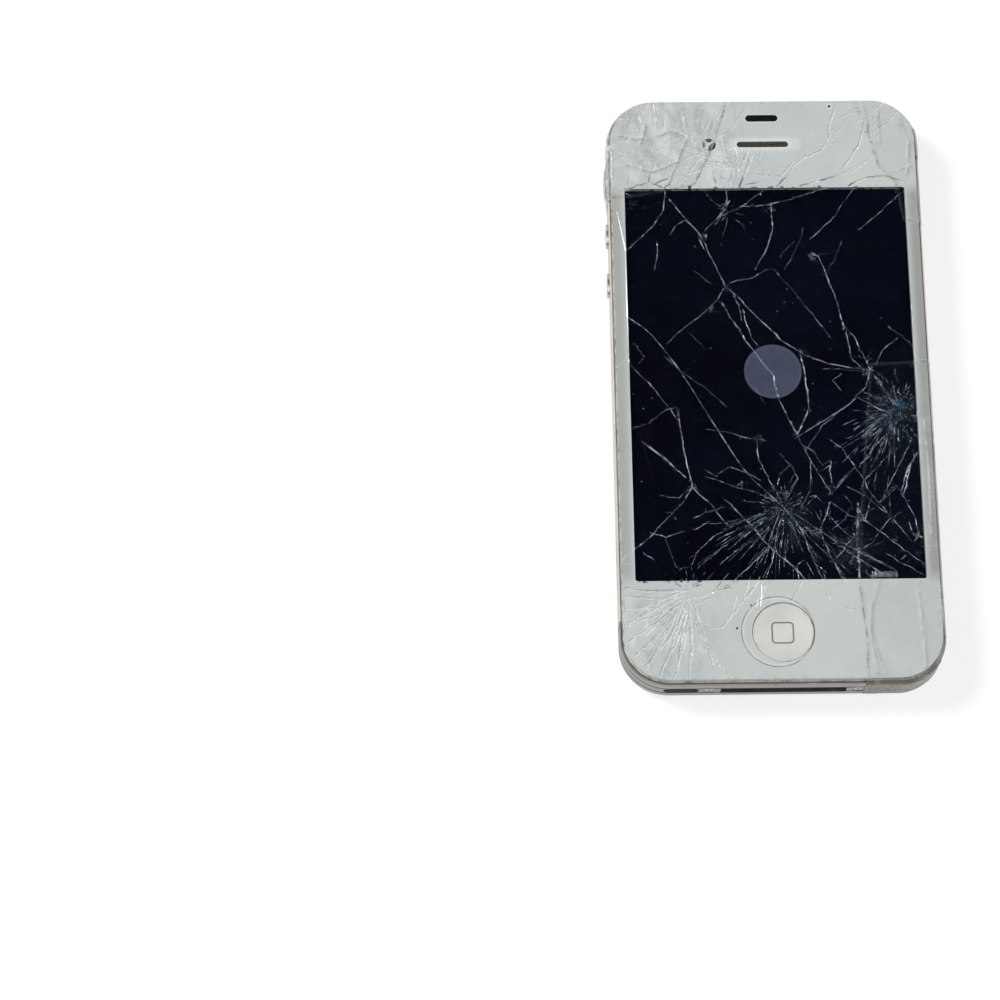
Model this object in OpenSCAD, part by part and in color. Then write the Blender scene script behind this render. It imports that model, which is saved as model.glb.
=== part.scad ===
/* [Body] */
// Width of the phone across its side band, in mm
body_w = 58.6; // [45:0.1:72]
// Length of the phone from end to end
body_l = 115.2; // [94:0.1:140]
// Thickness from the rear glass to the front glass
body_t = 9.3; // [8.8:0.1:12]
// Corner radius of the side band, seen from the front
corner_r = 8.8; // [7:0.1:11]
// Clearance between pieces that are assembled face to face
fit_gap = 0.05; // [0.02:0.01:0.1]

/* [Side band] */
// Wall thickness of the steel side band
band_wall = 1.3; // [1:0.05:1.6]
// Chamfer on both outer edges of the band
band_chamfer = 0.25; // [0.1:0.05:0.4]
// Width of the two fine grooves that run round the band
groove_w = 0.35; // [0.2:0.05:0.5]
// Depth of the two fine grooves
groove_depth = 0.25; // [0.1:0.05:0.4]
// Distance of each groove from the band's middle line
groove_offset = 1.15; // [0.8:0.05:1.4]
// Width of the four insulated breaks in the band
break_w = 0.9; // [0.6:0.1:1.5]
// Distance of each break from the nearer end of the phone
break_from_end = 11.8; // [11.5:0.1:13]

/* [Front panel] */
// Thickness of the front glass
front_glass_t = 1; // [0.8:0.05:1.2]
// Inset of the front glass from the band's outer face
front_inset = 0.7; // [0.6:0.05:1]
// Height of the plastic lip between the band and the glass
lip_t = 0.6; // [0.4:0.05:0.8]
// Inset of the plastic lip from the band's outer face
lip_inset = 0.55; // [0.4:0.05:0.6]
// Thickness of the skirt that locates the front panel in the band
skirt_wall = 0.75; // [0.6:0.05:0.9]
// Width of the cracks that part the shards of the front glass
crack_w = 0.05; // [0.03:0.01:0.1]

/* [Screen] */
// Width of the display module
lcd_w = 53; // [36:0.1:53.2]
// Length of the display module
lcd_l = 80; // [66:0.1:81]
// Thickness of the liquid crystal sandwich
lcd_t = 1.1; // [0.9:0.05:1.15]
// Thickness of the backlight tray under it
backlight_t = 0.6; // [0.5:0.05:0.65]
// Offset of the display's centre towards the earpiece end
lcd_y = 0.3; // [-0.5:0.1:0.8]

/* [Home button] */
// Diameter of the home button's cap
home_d = 10.9; // [9:0.1:13.2]
// Distance of the home button's centre from the bottom end
home_from_end = 9.4; // [9:0.1:9.8]
// Travel of the home button
home_travel = 0.25; // [0.15:0.05:0.3]
// Running gap round the home button in the glass
home_gap = 0.2; // [0.1:0.05:0.3]
// Depth of the dish in the cap
home_dish = 0.35; // [0.1:0.05:0.5]

/* [Earpiece and front camera] */
// Width of the earpiece slot
ear_w = 9.7; // [8:0.1:11]
// Height of the earpiece slot
ear_h = 1.2; // [0.9:0.1:1.5]
// Distance of the earpiece from the top end
ear_from_end = 9.6; // [9.5:0.1:10]
// Distance of the front camera from the centre line
front_camera_x = 10.1; // [10:0.1:10.6]
// Diameter of the front camera's barrel
front_camera_d = 3.6; // [3:0.1:4]
// Distance of the light sensor from the top end
sensor_from_end = 4.2; // [4.1:0.05:4.3]

/* [Rear cover] */
// Thickness of the rear glass
rear_glass_t = 0.95; // [0.8:0.05:1.2]
// Thickness of the plastic frame bonded to the rear glass
rear_frame_t = 0.65; // [0.5:0.05:0.8]
// Diameter of the rear camera's window ring
camera_ring_d = 8; // [7.4:0.1:8.6]
// Diameter of the rear camera's clear window
camera_window_d = 6; // [5:0.1:6.4]
// Diameter of the flash lens
flash_d = 3.4; // [2.8:0.1:4]

/* [Side keys] */
// Diameter of the two volume keys
key_d = 4.6; // [4:0.1:5]
// Height by which the keys stand proud of the band
key_proud = 0.45; // [0.3:0.05:0.6]
// Travel of the volume and sleep keys
key_travel = 0.3; // [0.2:0.05:0.35]
// Running gap round each key in the band
key_gap = 0.12; // [0.08:0.02:0.2]
// Distance of the volume up key from the top end
volume_up_from_end = 26.3; // [26:0.1:27]
// Distance of the volume down key from the top end
volume_down_from_end = 36.3; // [36:0.1:38]
// Distance of the mute switch from the top end
mute_from_end = 16; // [15.8:0.1:16.2]
// Length of the mute switch's lever
mute_l = 5.4; // [4.6:0.1:5.8]
// Height of the mute switch's lever
mute_h = 1.5; // [1.2:0.1:1.7]
// Travel of the mute switch across the band
mute_travel = 1.3; // [1:0.1:1.4]
// Length of the sleep key
sleep_l = 9.6; // [8:0.1:10]
// Height of the sleep key
sleep_h = 2.4; // [2:0.1:2.6]
// Distance of the sleep key's centre from the right side
sleep_from_side = 14.4; // [14.2:0.1:14.8]

/* [Card tray] */
// Length of the card, along the side of the phone
card_l = 15; // [12:0.1:18]
// Width of the card
card_w = 12; // [10:0.1:12.3]
// Thickness of the card
card_t = 0.76; // [0.6:0.01:0.8]
// Reach of the tray's face past the tray at each end
tray_face_over = 0.5; // [0.3:0.1:0.8]
// Height of the tray's face
tray_face_h = 2.3; // [2:0.1:2.4]

/* [Battery and board] */
// Width of the battery
battery_w = 33; // [27:0.1:33.2]
// Length of the battery
battery_l = 80; // [66:0.1:81]
// Thickness of the battery
battery_t = 4.05; // [3:0.05:4.1]
// Thickness of the logic board
board_t = 0.8; // [0.6:0.05:0.9]
// Width of the logic board's long arm
board_w = 18.4; // [17.8:0.1:18.6]
// Thickness of the steel plate between board and screen
mid_plate_t = 0.4; // [0.3:0.05:0.45]

/* [Sockets and grilles] */
// Bore of the headphone jack
jack_d = 3.6; // [3.5:0.05:3.8]
// Depth of the headphone jack
jack_depth = 14.3; // [12:0.1:14.4]
// Distance of the headphone jack from the left side
jack_from_side = 9.9; // [9.8:0.1:10.2]
// Width of the dock socket
dock_w = 22.6; // [18:0.1:23]
// Height of the dock socket
dock_h = 2.4; // [2:0.1:2.5]
// Depth of the dock socket
dock_depth = 6; // [5:0.1:6.4]
// Number of contacts in the dock socket
dock_contact_count = 30; // [20:1:32]
// Width of each grille slot in the bottom end
grille_w = 6.4; // [5:0.1:6.6]
// Height of each grille slot
grille_h = 1.9; // [1.4:0.1:2.2]
// Distance of each grille slot's centre from the centre line
grille_x = 18.4; // [18.2:0.1:18.6]
// Distance of each bottom screw from the centre line
screw_x = 13.4; // [13.2:0.1:13.6]

/* [Adhesive film] */
// Thickness of the film that holds the shards
film_t = 0.08; // [0.05:0.01:0.12]
// Height by which the film tents over the mute switch
film_tent = 0.75; // [0.7:0.05:0.9]

/* [Hidden] */
$fn = 64;

// Colours
c_white = [0.78, 0.80, 0.78];
c_cap = [0.85, 0.85, 0.82];
c_steel = [0.62, 0.62, 0.60];
c_dark = [0.10, 0.10, 0.11];
c_black = [0.03, 0.03, 0.05];
c_film = [0.80, 0.80, 0.72, 0.4];
c_gold = [0.75, 0.62, 0.32];
c_board = [0.08, 0.16, 0.12];

// Half sizes and main levels
hw = body_w / 2;
hl = body_l / 2;
z_frame = rear_glass_t;
z_band = rear_glass_t + rear_frame_t;
z_glass = body_t - front_glass_t;
z_lip = z_glass - lip_t;
z_mid = (z_band + z_lip) / 2;

// Levels of the stack behind the glass, counted down from it
z_lcd = z_glass - fit_gap - lcd_t;
z_backlight = z_lcd - fit_gap - backlight_t;
z_plate = z_backlight - 0.15 - mid_plate_t;
front_plate_t = 0.85;
z_front_plate = z_glass - front_plate_t;

// Levels of the board and battery, counted up from the rear frame
z_board = z_band + 1.3;
z_board_top = z_board + board_t;
z_battery = z_band + 0.15;

// Inner faces of the band
inner_hw = hw - band_wall;
inner_hl = hl - band_wall;

// Places of the pieces, from the ends and sides of the phone
home_y = -hl + home_from_end;
ear_y = hl - ear_from_end;
sensor_y = hl - sensor_from_end;
volume_up_y = hl - volume_up_from_end;
volume_down_y = hl - volume_down_from_end;
mute_y = hl - mute_from_end;
sleep_x = hw - sleep_from_side;
jack_x = -hw + jack_from_side;
break_y = hl - break_from_end;
camera_x = hw - 8.5;
camera_y = hl - 7.9;
flash_x = camera_x - 7.5;
board_x = inner_hw - 0.3 - board_w;
board_end_y = -inner_hl + 15.8;
board_top_y = inner_hl - 1.5;
arm_y = inner_hl - 15.3;
battery_y = (arm_y + board_end_y) / 2;
mic_x = jack_x + 4.9;
dock_z = z_mid - 0.25;
dock_wall = 0.3;

// Ribbons between the display and the board
flex_t = 0.1;
lcd_flex_w = 7.6;
touch_flex_w = 5;
touch_flex_x = lcd_w / 2 - 1.2 - touch_flex_w;
lcd_flex_x = touch_flex_x - 1.4 - lcd_flex_w;
battery_x = min(board_x - 1, lcd_flex_x - 3) - battery_w;
flex_y = lcd_y + lcd_l / 2 - 2.8;
z_flex = z_backlight - 0.12;

// Running fits
home_hole_d = home_d + 2 * home_gap;
home_flange_d = home_hole_d + 1;
home_flange_t = 0.4;
home_stem_t = 0.3;
jack_block_w = 6.4;
jack_block_h = 5.2;
z_home_flange = z_glass - fit_gap - home_flange_t;
gasket_d = home_flange_d + 2;
key_flange_t = 0.6;
key_rim = 0.8;
sleep_flange_t = 0.6;

// Card tray
tray_t = 1;
tray_l = 14.4;
tray_rim = 0.7;
z_tray = z_mid - tray_t / 2;
socket_wall = 0.2;
tray_half = card_l / 2 + tray_rim + 0.1;
tray_face_l = 2 * (tray_half + tray_face_over);
socket_half = tray_half + 0.1 + socket_wall;

// Screws and chips on the board, on both sides of the card socket
screw_y = socket_half + 2.6;
shield_y = socket_half + 4.4;
board_screw_places = [
  [board_x + 2, screw_y], [board_x + 16.6, screw_y], [board_x + 2, -screw_y],
  [board_x + 16.6, -screw_y], [board_x + 2, board_end_y + 2], [board_x + 16.4, board_end_y + 2]
];

// Vibration motor
motor_x = mic_x + 1.7;
motor_y = inner_hl - 3;
motor_z = z_band + 2.6;

// Dock socket and its tongue
dock_y = -inner_hl + fit_gap;
tongue_w = dock_w - 2;
tongue_t = 0.9;

// Loudspeaker box
box_x = screw_x + 1.8;
box_y = -inner_hl + 6.9;
box_top = box_y + 7.2;
box_wall = 0.7;

// Facets round the corners of the film
film_fn = 32;

// Cracks in the front glass, each a run of points in mm from the centre.
// They meet at the three points where the glass was struck, and end past its edge.
past_side = hw + 1.7;
past_end = hl + 2.4;
strike_right = [24, -5];
strike_middle = [2, -23];
strike_low = [-16.5, -40];
cracks = [
  [[-past_side, 15], [-22, 10], [-15, -3], [-8, -14], strike_middle, [8, -36], [9, -past_end]],
  [[-20, past_end], [-17, 39], [-19, 34], [-past_side, 25]],
  [[-17, 39], [-12, 29], [-7, 20], [0, 13], [6, 9]],
  [[-12, 29], [-7, 33], [-2, 37], [2, 46], [0, past_end]],
  [[past_side, 40], [24, 37], [16, 31], [8, 27], [-7, 20]],
  [[10, past_end], [14, 41], [24, 41], [past_side, 39]],
  [[6, 9], [2, 0], [5, -10], strike_middle],
  [[8, 27], [13, 14], [18, 4], strike_right, [past_side, 2]],
  [[18, 4], [14, -2], [9, -6], [5, -10]],
  [strike_right, [20, 14], [past_side, 12]],
  [strike_right, [past_side, -8]],
  [strike_right, [24, -16], [27, -24], [past_side, -31]],
  [strike_right, [14, -18], strike_middle],
  [[14, -18], [18, -30], [14, -40], [17, -past_end]],
  [strike_middle, [-10, -19], [-16, -16], [-past_side, -12]],
  [[-16, -16], [-20, -24], [-past_side, -34]],
  [strike_middle, [-6, -32], strike_low],
  [strike_low, [-past_side, -42]],
  [strike_low, [-past_side, -52]],
  [strike_low, [-18, -past_end - 2]],
  [strike_low, [-9, -46], [-6, -past_end]],
  [[-6, -32], [2, -36], [8, -36]],
  [[-past_side, 45], [-20, 46], [-9, 43], [2, 46]],
  [[14, 41], [8, 50], [16, past_end]]
];

// Shapes used by several pieces

// Rounded rectangle about the origin
module outline(w, l, r) {
  square([w - 2 * r, l], center = true);
  square([w, l - 2 * r], center = true);
  for (sx = [-1, 1]) for (sy = [-1, 1])
    translate([sx * (w / 2 - r), sy * (l / 2 - r)]) circle(r);
}

// Slab with the phone's outline, set in from the band's outer face
module inset_slab(inset, z0, z1) {
  translate([0, 0, z0]) linear_extrude(z1 - z0)
    outline(body_w - 2 * inset, body_l - 2 * inset, corner_r - inset);
}

// Box between two corners
module block(a, b) {
  translate(a) cube(b - a);
}

// Flat slot with round ends about the origin, lying along X
module stadium(w, h) {
  square([w - h, h], center = true);
  for (s = [-1, 1]) translate([s * (w - h) / 2, 0]) circle(d = h);
}

// Section of the band: distance in from its outer face, and height
module band_section() {
  c = band_chamfer;
  g = groove_w / 2;
  z1 = z_mid - groove_offset;
  z2 = z_mid + groove_offset;
  polygon([
    [0, z_band + c], [c, z_band], [band_wall, z_band], [band_wall, z_lip], [c, z_lip],
    [0, z_lip - c], [0, z2 + g], [groove_depth, z2 + g], [groove_depth, z2 - g],
    [0, z2 - g], [0, z1 + g], [groove_depth, z1 + g], [groove_depth, z1 - g], [0, z1 - g]
  ]);
}

// Straight stretch of the band along a side, between two heights on the phone
module side_stretch(side, y0, y1) {
  translate([0, y1, 0]) rotate([90, 0, 0]) linear_extrude(y1 - y0)
    translate([side * hw, 0]) mirror([side > 0 ? 1 : 0, 0]) band_section();
}

// Straight stretch of the band along an end
module end_stretch(end) {
  half = hw - corner_r;
  translate([-half, 0, 0]) rotate([90, 0, 90]) linear_extrude(2 * half)
    translate([end * hl, 0]) mirror([end > 0 ? 1 : 0, 0]) band_section();
}

// Quarter turn of the band at a corner
module corner_stretch(side, end) {
  turn = side > 0 ? (end > 0 ? 0 : 270) : (end > 0 ? 90 : 180);
  translate([side * (hw - corner_r), end * (hl - corner_r), 0]) rotate([0, 0, turn])
    rotate_extrude(angle = 90) translate([corner_r, 0]) mirror([1, 0]) band_section();
}

// U-shaped end of the band, as far as the breaks
module band_end(end) {
  y0 = break_y + break_w / 2;
  y1 = hl - corner_r;
  end_stretch(end);
  for (side = [-1, 1]) {
    corner_stretch(side, end);
    side_stretch(side, end > 0 ? y0 : -y1, end > 0 ? y1 : -y0);
  }
}

// Prism of a flat XZ shape, running along Y
module along_y(y0, y1) {
  translate([0, y1, 0]) rotate([90, 0, 0]) linear_extrude(y1 - y0) children();
}

// Prism of a flat YZ shape, running along X
module along_x(x0, x1) {
  translate([x0, 0, 0]) rotate([90, 0, 90]) linear_extrude(x1 - x0) children();
}

// Direction from one point to the next, and the left-hand normal at a point of a run
function heading(a, b) = (b - a) / norm(b - a);
function bend(p, i) =
  i == 0 ? heading(p[0], p[1])
  : i == len(p) - 1 ? heading(p[i - 1], p[i])
  : heading(p[i - 1], p[i]) + heading(p[i], p[i + 1]);
function left_of(p, i) = let (d = bend(p, i)) [-d[1], d[0]] / norm(d);

// Strip of even width along a run of points
function strip(p, w) = concat(
  [for (i = [0 : len(p) - 1]) p[i] + w / 2 * left_of(p, i)],
  [for (i = [len(p) - 1 : -1 : 0]) p[i] - w / 2 * left_of(p, i)]
);

// Front panel

module front_glass() {
  color(c_white) difference() {
    inset_slab(front_inset, z_glass, body_t);
    translate([0, 0, z_glass - 1]) linear_extrude(front_glass_t + 2) {
      translate([0, home_y]) circle(d = home_hole_d);
      translate([0, ear_y]) stadium(ear_w, ear_h);
    }
    for (run = cracks)
      translate([0, 0, z_glass - 1]) linear_extrude(front_glass_t + 2)
        polygon(strip(run, crack_w));
  }
}

// Plastic frame of the front panel: lip, skirt and the plates at both ends
module front_bezel() {
  lcd_top = lcd_y + lcd_l / 2 + 0.25;
  lcd_low = lcd_y - lcd_l / 2 - 0.1;
  skirt = band_wall + 0.1;
  z_skirt = z_plate + mid_plate_t + 0.1;
  rib = 1.2;
  color(c_white) difference() {
    union() {
      inset_slab(lip_inset, z_lip, z_glass);
      inset_slab(skirt, z_skirt, z_lip);
    }
    block([-lcd_w / 2 - 0.1, lcd_low, 0], [lcd_w / 2 + 0.1, lcd_top, body_t]);
    intersection() {
      inset_slab(skirt + skirt_wall, 0, z_front_plate);
      union() {
        block([-hw, lcd_top + rib, 0], [hw, hl, body_t]);
        block([-hw, -hl, 0], [hw, lcd_low - rib, body_t]);
      }
    }
    translate([0, home_y, 0]) cylinder(d = home_flange_d + 0.4, h = body_t);
    translate([0, home_y, z_home_flange - 0.1]) cylinder(d = gasket_d + 0.2, h = body_t);
    translate([0, ear_y, 0]) linear_extrude(body_t) square([ear_w + 2.8, 3.4], center = true);
    translate([0, sensor_y, 0]) linear_extrude(body_t) square([8.4, 3.2], center = true);
    translate([-front_camera_x, ear_y, 0]) cylinder(d = front_camera_d + 0.3, h = body_t);
    block([jack_x - jack_block_w / 2 - 0.2, hl - jack_depth - 2, 0],
      [jack_x + jack_block_w / 2 + 0.2, inner_hl, z_mid + jack_block_h / 2 + 0.15]);
    key_clearance();
  }
}

module lcd_panel() {
  color(c_black) translate([0, lcd_y, z_lcd]) linear_extrude(lcd_t)
    square([lcd_w, lcd_l], center = true);
}

module lcd_backlight() {
  color(c_steel) translate([0, lcd_y, z_backlight]) linear_extrude(backlight_t)
    square([lcd_w, lcd_l], center = true);
}

// Ribbons that run down through the slot in the mid plate to the board
module lcd_flex() {
  x0 = lcd_flex_x;
  x1 = lcd_flex_x + lcd_flex_w;
  color(c_dark) union() {
    block([x0, flex_y, z_board_top + fit_gap], [x1, flex_y + flex_t, z_flex + flex_t]);
    block([x0, flex_y - 3, z_flex], [x1, flex_y + flex_t, z_flex + flex_t]);
  }
}

module touch_flex() {
  x0 = touch_flex_x;
  x1 = touch_flex_x + touch_flex_w;
  y1 = lcd_y + lcd_l / 2 + 0.08;
  color(c_dark) union() {
    block([x0, flex_y, z_board_top + fit_gap], [x1, flex_y + flex_t, z_flex + flex_t]);
    block([x0, flex_y, z_flex], [x1, y1 + flex_t, z_flex + flex_t]);
    block([x0, y1, z_flex], [x1, y1 + flex_t, z_glass - fit_gap]);
  }
}

// Home button

module home_button() {
  dish_r = home_d / 2 - 0.4;
  ball_r = (dish_r * dish_r + home_dish * home_dish) / (2 * home_dish);
  z_top = body_t - 0.15;
  color(c_cap) translate([0, home_y, 0]) difference() {
    union() {
      translate([0, 0, z_home_flange]) cylinder(d = home_d, h = z_top - z_home_flange);
      translate([0, 0, z_home_flange]) cylinder(d = home_flange_d, h = home_flange_t);
      translate([0, 0, z_home_flange - home_stem_t]) cylinder(d = 4, h = home_stem_t + 0.1);
    }
    translate([0, 0, z_top - home_dish + ball_r]) sphere(ball_r, $fn = 128);
  }
}

module home_gasket() {
  color(c_dark) translate([0, home_y, z_home_flange]) difference() {
    cylinder(d = gasket_d, h = home_flange_t);
    translate([0, 0, -1]) cylinder(d = home_flange_d + 0.4, h = 3);
  }
}

module home_switch() {
  z0 = z_plate + mid_plate_t + fit_gap;
  z_dome = z_home_flange - home_stem_t - home_travel - fit_gap;
  color(c_steel) union() {
    block([-7, home_y - 3.5, z0], [7, home_y + 3.5, z_dome - 0.25]);
    translate([0, home_y, z0]) cylinder(d = 4.6, h = z_dome - z0);
  }
}

// Earpiece, light sensor and front camera

module earpiece_mesh() {
  hole_count = 13;
  color(c_gold) translate([0, ear_y, 0]) difference() {
    union() {
      translate([0, 0, z_glass - fit_gap - 0.3]) linear_extrude(0.3)
        square([ear_w + 2.4, 3], center = true);
      translate([0, 0, z_glass - fit_gap - 0.1]) linear_extrude(front_glass_t - 0.4)
        stadium(ear_w - 0.2, ear_h - 0.2);
    }
    for (i = [0 : hole_count - 1])
      translate([(i - (hole_count - 1) / 2) * (ear_w - 1.6) / (hole_count - 1), 0, 0])
        cylinder(d = 0.45, h = body_t + 1, $fn = 16);
  }
}

module earpiece_speaker() {
  z1 = z_front_plate - fit_gap;
  color(c_dark) translate([0, ear_y, 0]) union() {
    block([-6.5, -3.2, z1 - 2.2], [6.5, 3.2, z1]);
    block([-5.6, -1.4, z1 - 0.5], [5.6, 1.4, z_glass - 0.4 - fit_gap]);
  }
}

module proximity_sensor() {
  color(c_black) translate([0, sensor_y, 0])
    block([-4, -1.4, z_glass - 1.9], [4, 1.2, z_glass - 0.1]);
}

module front_camera() {
  z1 = z_front_plate - fit_gap;
  color(c_dark) translate([-front_camera_x, ear_y, 0]) difference() {
    union() {
      block([-3, -3, z1 - 2.2], [3, 3, z1]);
      translate([0, 0, z1 - 0.5]) cylinder(d = front_camera_d, h = z_glass - fit_gap - z1 + 0.5);
    }
    translate([0, 0, z_glass - 0.35]) cylinder(d1 = 1, d2 = 2.6, h = 0.4);
  }
}

// Room for the volume keys behind the band, through what lies beside them
module key_clearance() {
  x1 = -inner_hw + 0.1 + key_travel + 0.2;
  for (y = [volume_up_y, volume_down_y]) translate([-hw, y, z_mid]) rotate([0, 90, 0])
    cylinder(d = key_d + 0.4, h = x1 + hw);
}

// Side band

// Round hole through the band's side wall
module side_hole(y, d) {
  translate([-hw - 1, y, z_mid]) rotate([0, 90, 0]) cylinder(d = d, h = band_wall + 2);
}

module band_top() {
  color(c_steel) difference() {
    band_end(1);
    translate([jack_x, hl + 1, z_mid]) rotate([90, 0, 0]) cylinder(d = 5, h = band_wall + 2);
    translate([mic_x, hl + 1, z_mid]) rotate([90, 0, 0]) cylinder(d = 0.9, h = band_wall + 2);
    along_y(inner_hl - 1, hl + 1) translate([sleep_x, z_mid])
      stadium(sleep_l + 2 * key_gap, sleep_h + 2 * key_gap);
  }
}

module band_bottom() {
  color(c_steel) difference() {
    band_end(-1);
    along_y(-hl - 1, -inner_hl + 1) {
      translate([0, dock_z]) square([dock_w, dock_h], center = true);
      for (s = [-1, 1]) translate([s * grille_x, z_mid]) stadium(grille_w, grille_h);
    }
    for (s = [-1, 1]) translate([s * screw_x, -hl, z_mid]) rotate([-90, 0, 0]) {
      translate([0, 0, -1]) cylinder(d = 1.9, h = 1.8);
      cylinder(d = 1.4, h = band_wall + 1);
    }
  }
}

module band_left() {
  y1 = break_y - break_w / 2;
  color(c_steel) difference() {
    side_stretch(-1, -y1, y1);
    for (y = [volume_up_y, volume_down_y]) side_hole(y, key_d + 2 * key_gap);
    block([-hw - 1, mute_y - mute_l / 2 - key_gap, z_mid - (mute_h + mute_travel) / 2 - 0.1],
      [-inner_hw + 1, mute_y + mute_l / 2 + key_gap, z_mid + (mute_h + mute_travel) / 2 + 0.1]);
  }
}

module band_right() {
  y1 = break_y - break_w / 2;
  color(c_steel) difference() {
    side_stretch(1, -y1, y1);
    along_x(inner_hw - 1, hw + 1) translate([0, z_mid])
      stadium(tray_face_l + 2 * key_gap, tray_face_h + 2 * key_gap);
  }
}

// Insulating strip in one of the band's breaks
module break_strip(side, end) {
  half = break_w / 2 - 0.02;
  color(c_dark) side_stretch(side, end * break_y - half, end * break_y + half);
}

module mid_plate() {
  standoff_h = z_plate - z_board_top - fit_gap;
  color(c_steel) difference() {
    union() {
      intersection() {
        inset_slab(band_wall + fit_gap, z_plate, z_plate + mid_plate_t);
        block([-hw, -hl, 0], [hw, arm_y + 0.2, body_t]);
      }
      for (p = board_screw_places)
        translate([p[0], p[1], z_plate - standoff_h]) cylinder(d = 2.6, h = standoff_h + 0.1);
    }
    for (p = board_screw_places)
      translate([p[0], p[1], z_plate - standoff_h - 1]) cylinder(d = 1.3, h = standoff_h);
    block([lcd_flex_x - 0.6, flex_y - 0.6, 0], [touch_flex_x + touch_flex_w + 0.6, flex_y + 0.7, body_t]);
    block([-hw, mute_y - mute_l / 2 - 0.9, 0], [-inner_hw + 1, arm_y + 1, body_t]);
    key_clearance();
    for (s = [-1, 1]) for (y = [-24, 0, 24])
      translate([battery_x + battery_w / 2 + s * 9, battery_y + y, 0]) cylinder(d = 5, h = body_t);
  }
}

// Battery

module battery() {
  color(c_dark) block([battery_x, battery_y - battery_l / 2, z_battery],
    [battery_x + battery_w, battery_y + battery_l / 2, z_battery + battery_t]);
}

module battery_pull_tab() {
  x = battery_x + battery_w - 12;
  color(c_white) block([x, battery_y - 30, z_battery - 0.12], [x + 8, battery_y + 20, z_battery - 0.02]);
}

module battery_connector() {
  x = battery_x + battery_w;
  color(c_dark)
    block([x + 0.05, battery_y - 34, z_board - 0.9], [x + 6, battery_y - 30, z_board - fit_gap]);
}

// Logic board and what it carries

module logic_board() {
  color(c_board) difference() {
    intersection() {
      inset_slab(band_wall + 0.25, z_board, z_board_top);
      union() {
        block([board_x, board_end_y, 0], [hw, board_top_y, body_t]);
        block([board_x - 10, arm_y + 0.9, 0], [hw, board_top_y, body_t]);
      }
    }
    for (p = board_screw_places)
      translate([p[0], p[1], 0]) cylinder(d = 1.4, h = body_t);
    translate([camera_x, camera_y, 0]) linear_extrude(body_t) square(9.2, center = true);
  }
}

module board_chips() {
  z = z_board_top + fit_gap;
  x = board_x + board_w / 2;
  color(c_black) union() {
    block([x - 7, shield_y + 4, z], [x + 7, shield_y + 18, z + 1.1]);
    block([x - 6, -shield_y - 17, z], [x + 6, -shield_y - 7, z + 0.9]);
  }
}

// Five-sided sheet steel can on the board
module shield(y0, y1) {
  wall = 0.2;
  a = [board_x + 0.8, y0, z_board_top + fit_gap];
  b = [board_x + board_w - 1, y1, z_plate - fit_gap];
  color(c_steel) difference() {
    block(a, b);
    block(a + [wall, wall, -1], b - [wall, wall, wall]);
  }
}

module board_screws() {
  head_t = 0.6;
  color(c_steel) for (p = board_screw_places) translate([p[0], p[1], 0]) difference() {
    union() {
      translate([0, 0, z_board - head_t - 0.02]) cylinder(d = 2.3, h = head_t);
      translate([0, 0, z_board - 0.1]) cylinder(d = 1.2, h = board_t + 1.1);
    }
    translate([0, 0, z_board - head_t]) cube([1.4, 0.3, 0.5], center = true);
    translate([0, 0, z_board - head_t]) cube([0.3, 1.4, 0.5], center = true);
  }
}

// Rear camera and flash

module rear_camera() {
  color(c_dark) translate([camera_x, camera_y, 0]) difference() {
    union() {
      block([-4.3, -4.3, z_band + 0.4], [4.3, 4.3, z_plate + 0.3]);
      translate([0, 0, z_frame + 0.1]) cylinder(d = 6.2, h = rear_frame_t + 0.8);
    }
    translate([0, 0, z_frame]) cylinder(d1 = 4.4, d2 = 2, h = 0.6);
  }
}

module camera_ring() {
  color(c_steel) translate([camera_x, camera_y, 0.05]) difference() {
    cylinder(d = camera_ring_d, h = rear_glass_t - 0.1);
    translate([0, 0, -1]) cylinder(d = camera_window_d + 0.1, h = 4);
  }
}

module camera_window() {
  color(c_black) translate([camera_x, camera_y, 0.15])
    cylinder(d = camera_window_d, h = rear_glass_t - 0.25);
}

module camera_flash() {
  color(c_cap) translate([flash_x, camera_y, 0]) union() {
    translate([0, 0, 0.1]) cylinder(d = flash_d, h = z_band);
    block([-2.2, -2.2, z_band + fit_gap], [2.2, 2.2, z_board - fit_gap]);
  }
}

// Vibration motor, its spinning weight, the jack and the microphones

module vibration_motor() {
  color(c_steel) translate([motor_x, motor_y, 0]) union() {
    translate([0, 0, motor_z]) rotate([0, 90, 0]) cylinder(d = 3.8, h = 7);
    block([0.4, -1.9, z_band + fit_gap], [6.6, 1.9, motor_z - 1]);
    translate([7, 0, motor_z]) rotate([0, 90, 0]) cylinder(d = 0.7, h = 3.4);
  }
}

module motor_weight() {
  color(c_gold) translate([motor_x + 7.2, motor_y, motor_z]) rotate([0, 90, 0]) difference() {
    union() {
      intersection() {
        cylinder(d = 3.6, h = 3);
        block([0, -2, -1], [2, 2, 4]);
      }
      cylinder(d = 1.6, h = 3);
    }
    translate([0, 0, -1]) cylinder(d = 0.76, h = 5);
  }
}

module headphone_jack() {
  y0 = hl - 0.05 - jack_depth;
  wall = 1;
  color(c_white) difference() {
    union() {
      block([jack_x - jack_block_w / 2, y0 - wall, z_mid - jack_block_h / 2],
        [jack_x + jack_block_w / 2, inner_hl - 0.6, z_mid + jack_block_h / 2]);
      translate([jack_x, hl - 0.05, z_mid]) rotate([90, 0, 0]) cylinder(d = 4.8, h = band_wall + 1);
    }
    translate([jack_x, hl + 1, z_mid]) rotate([90, 0, 0]) cylinder(d = jack_d, h = hl + 1 - y0);
  }
}

module microphones() {
  y = inner_hl - fit_gap;
  color(c_steel) {
    block([mic_x - 1.4, y - 2, z_mid - 1], [mic_x + 1.3, y, z_mid + 1]);
    block([-grille_x - 3, -y + 0.5, z_mid - 1.3], [-grille_x + 3, -y + 3.5, z_mid + 1.3]);
  }
}

// Keys

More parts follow.
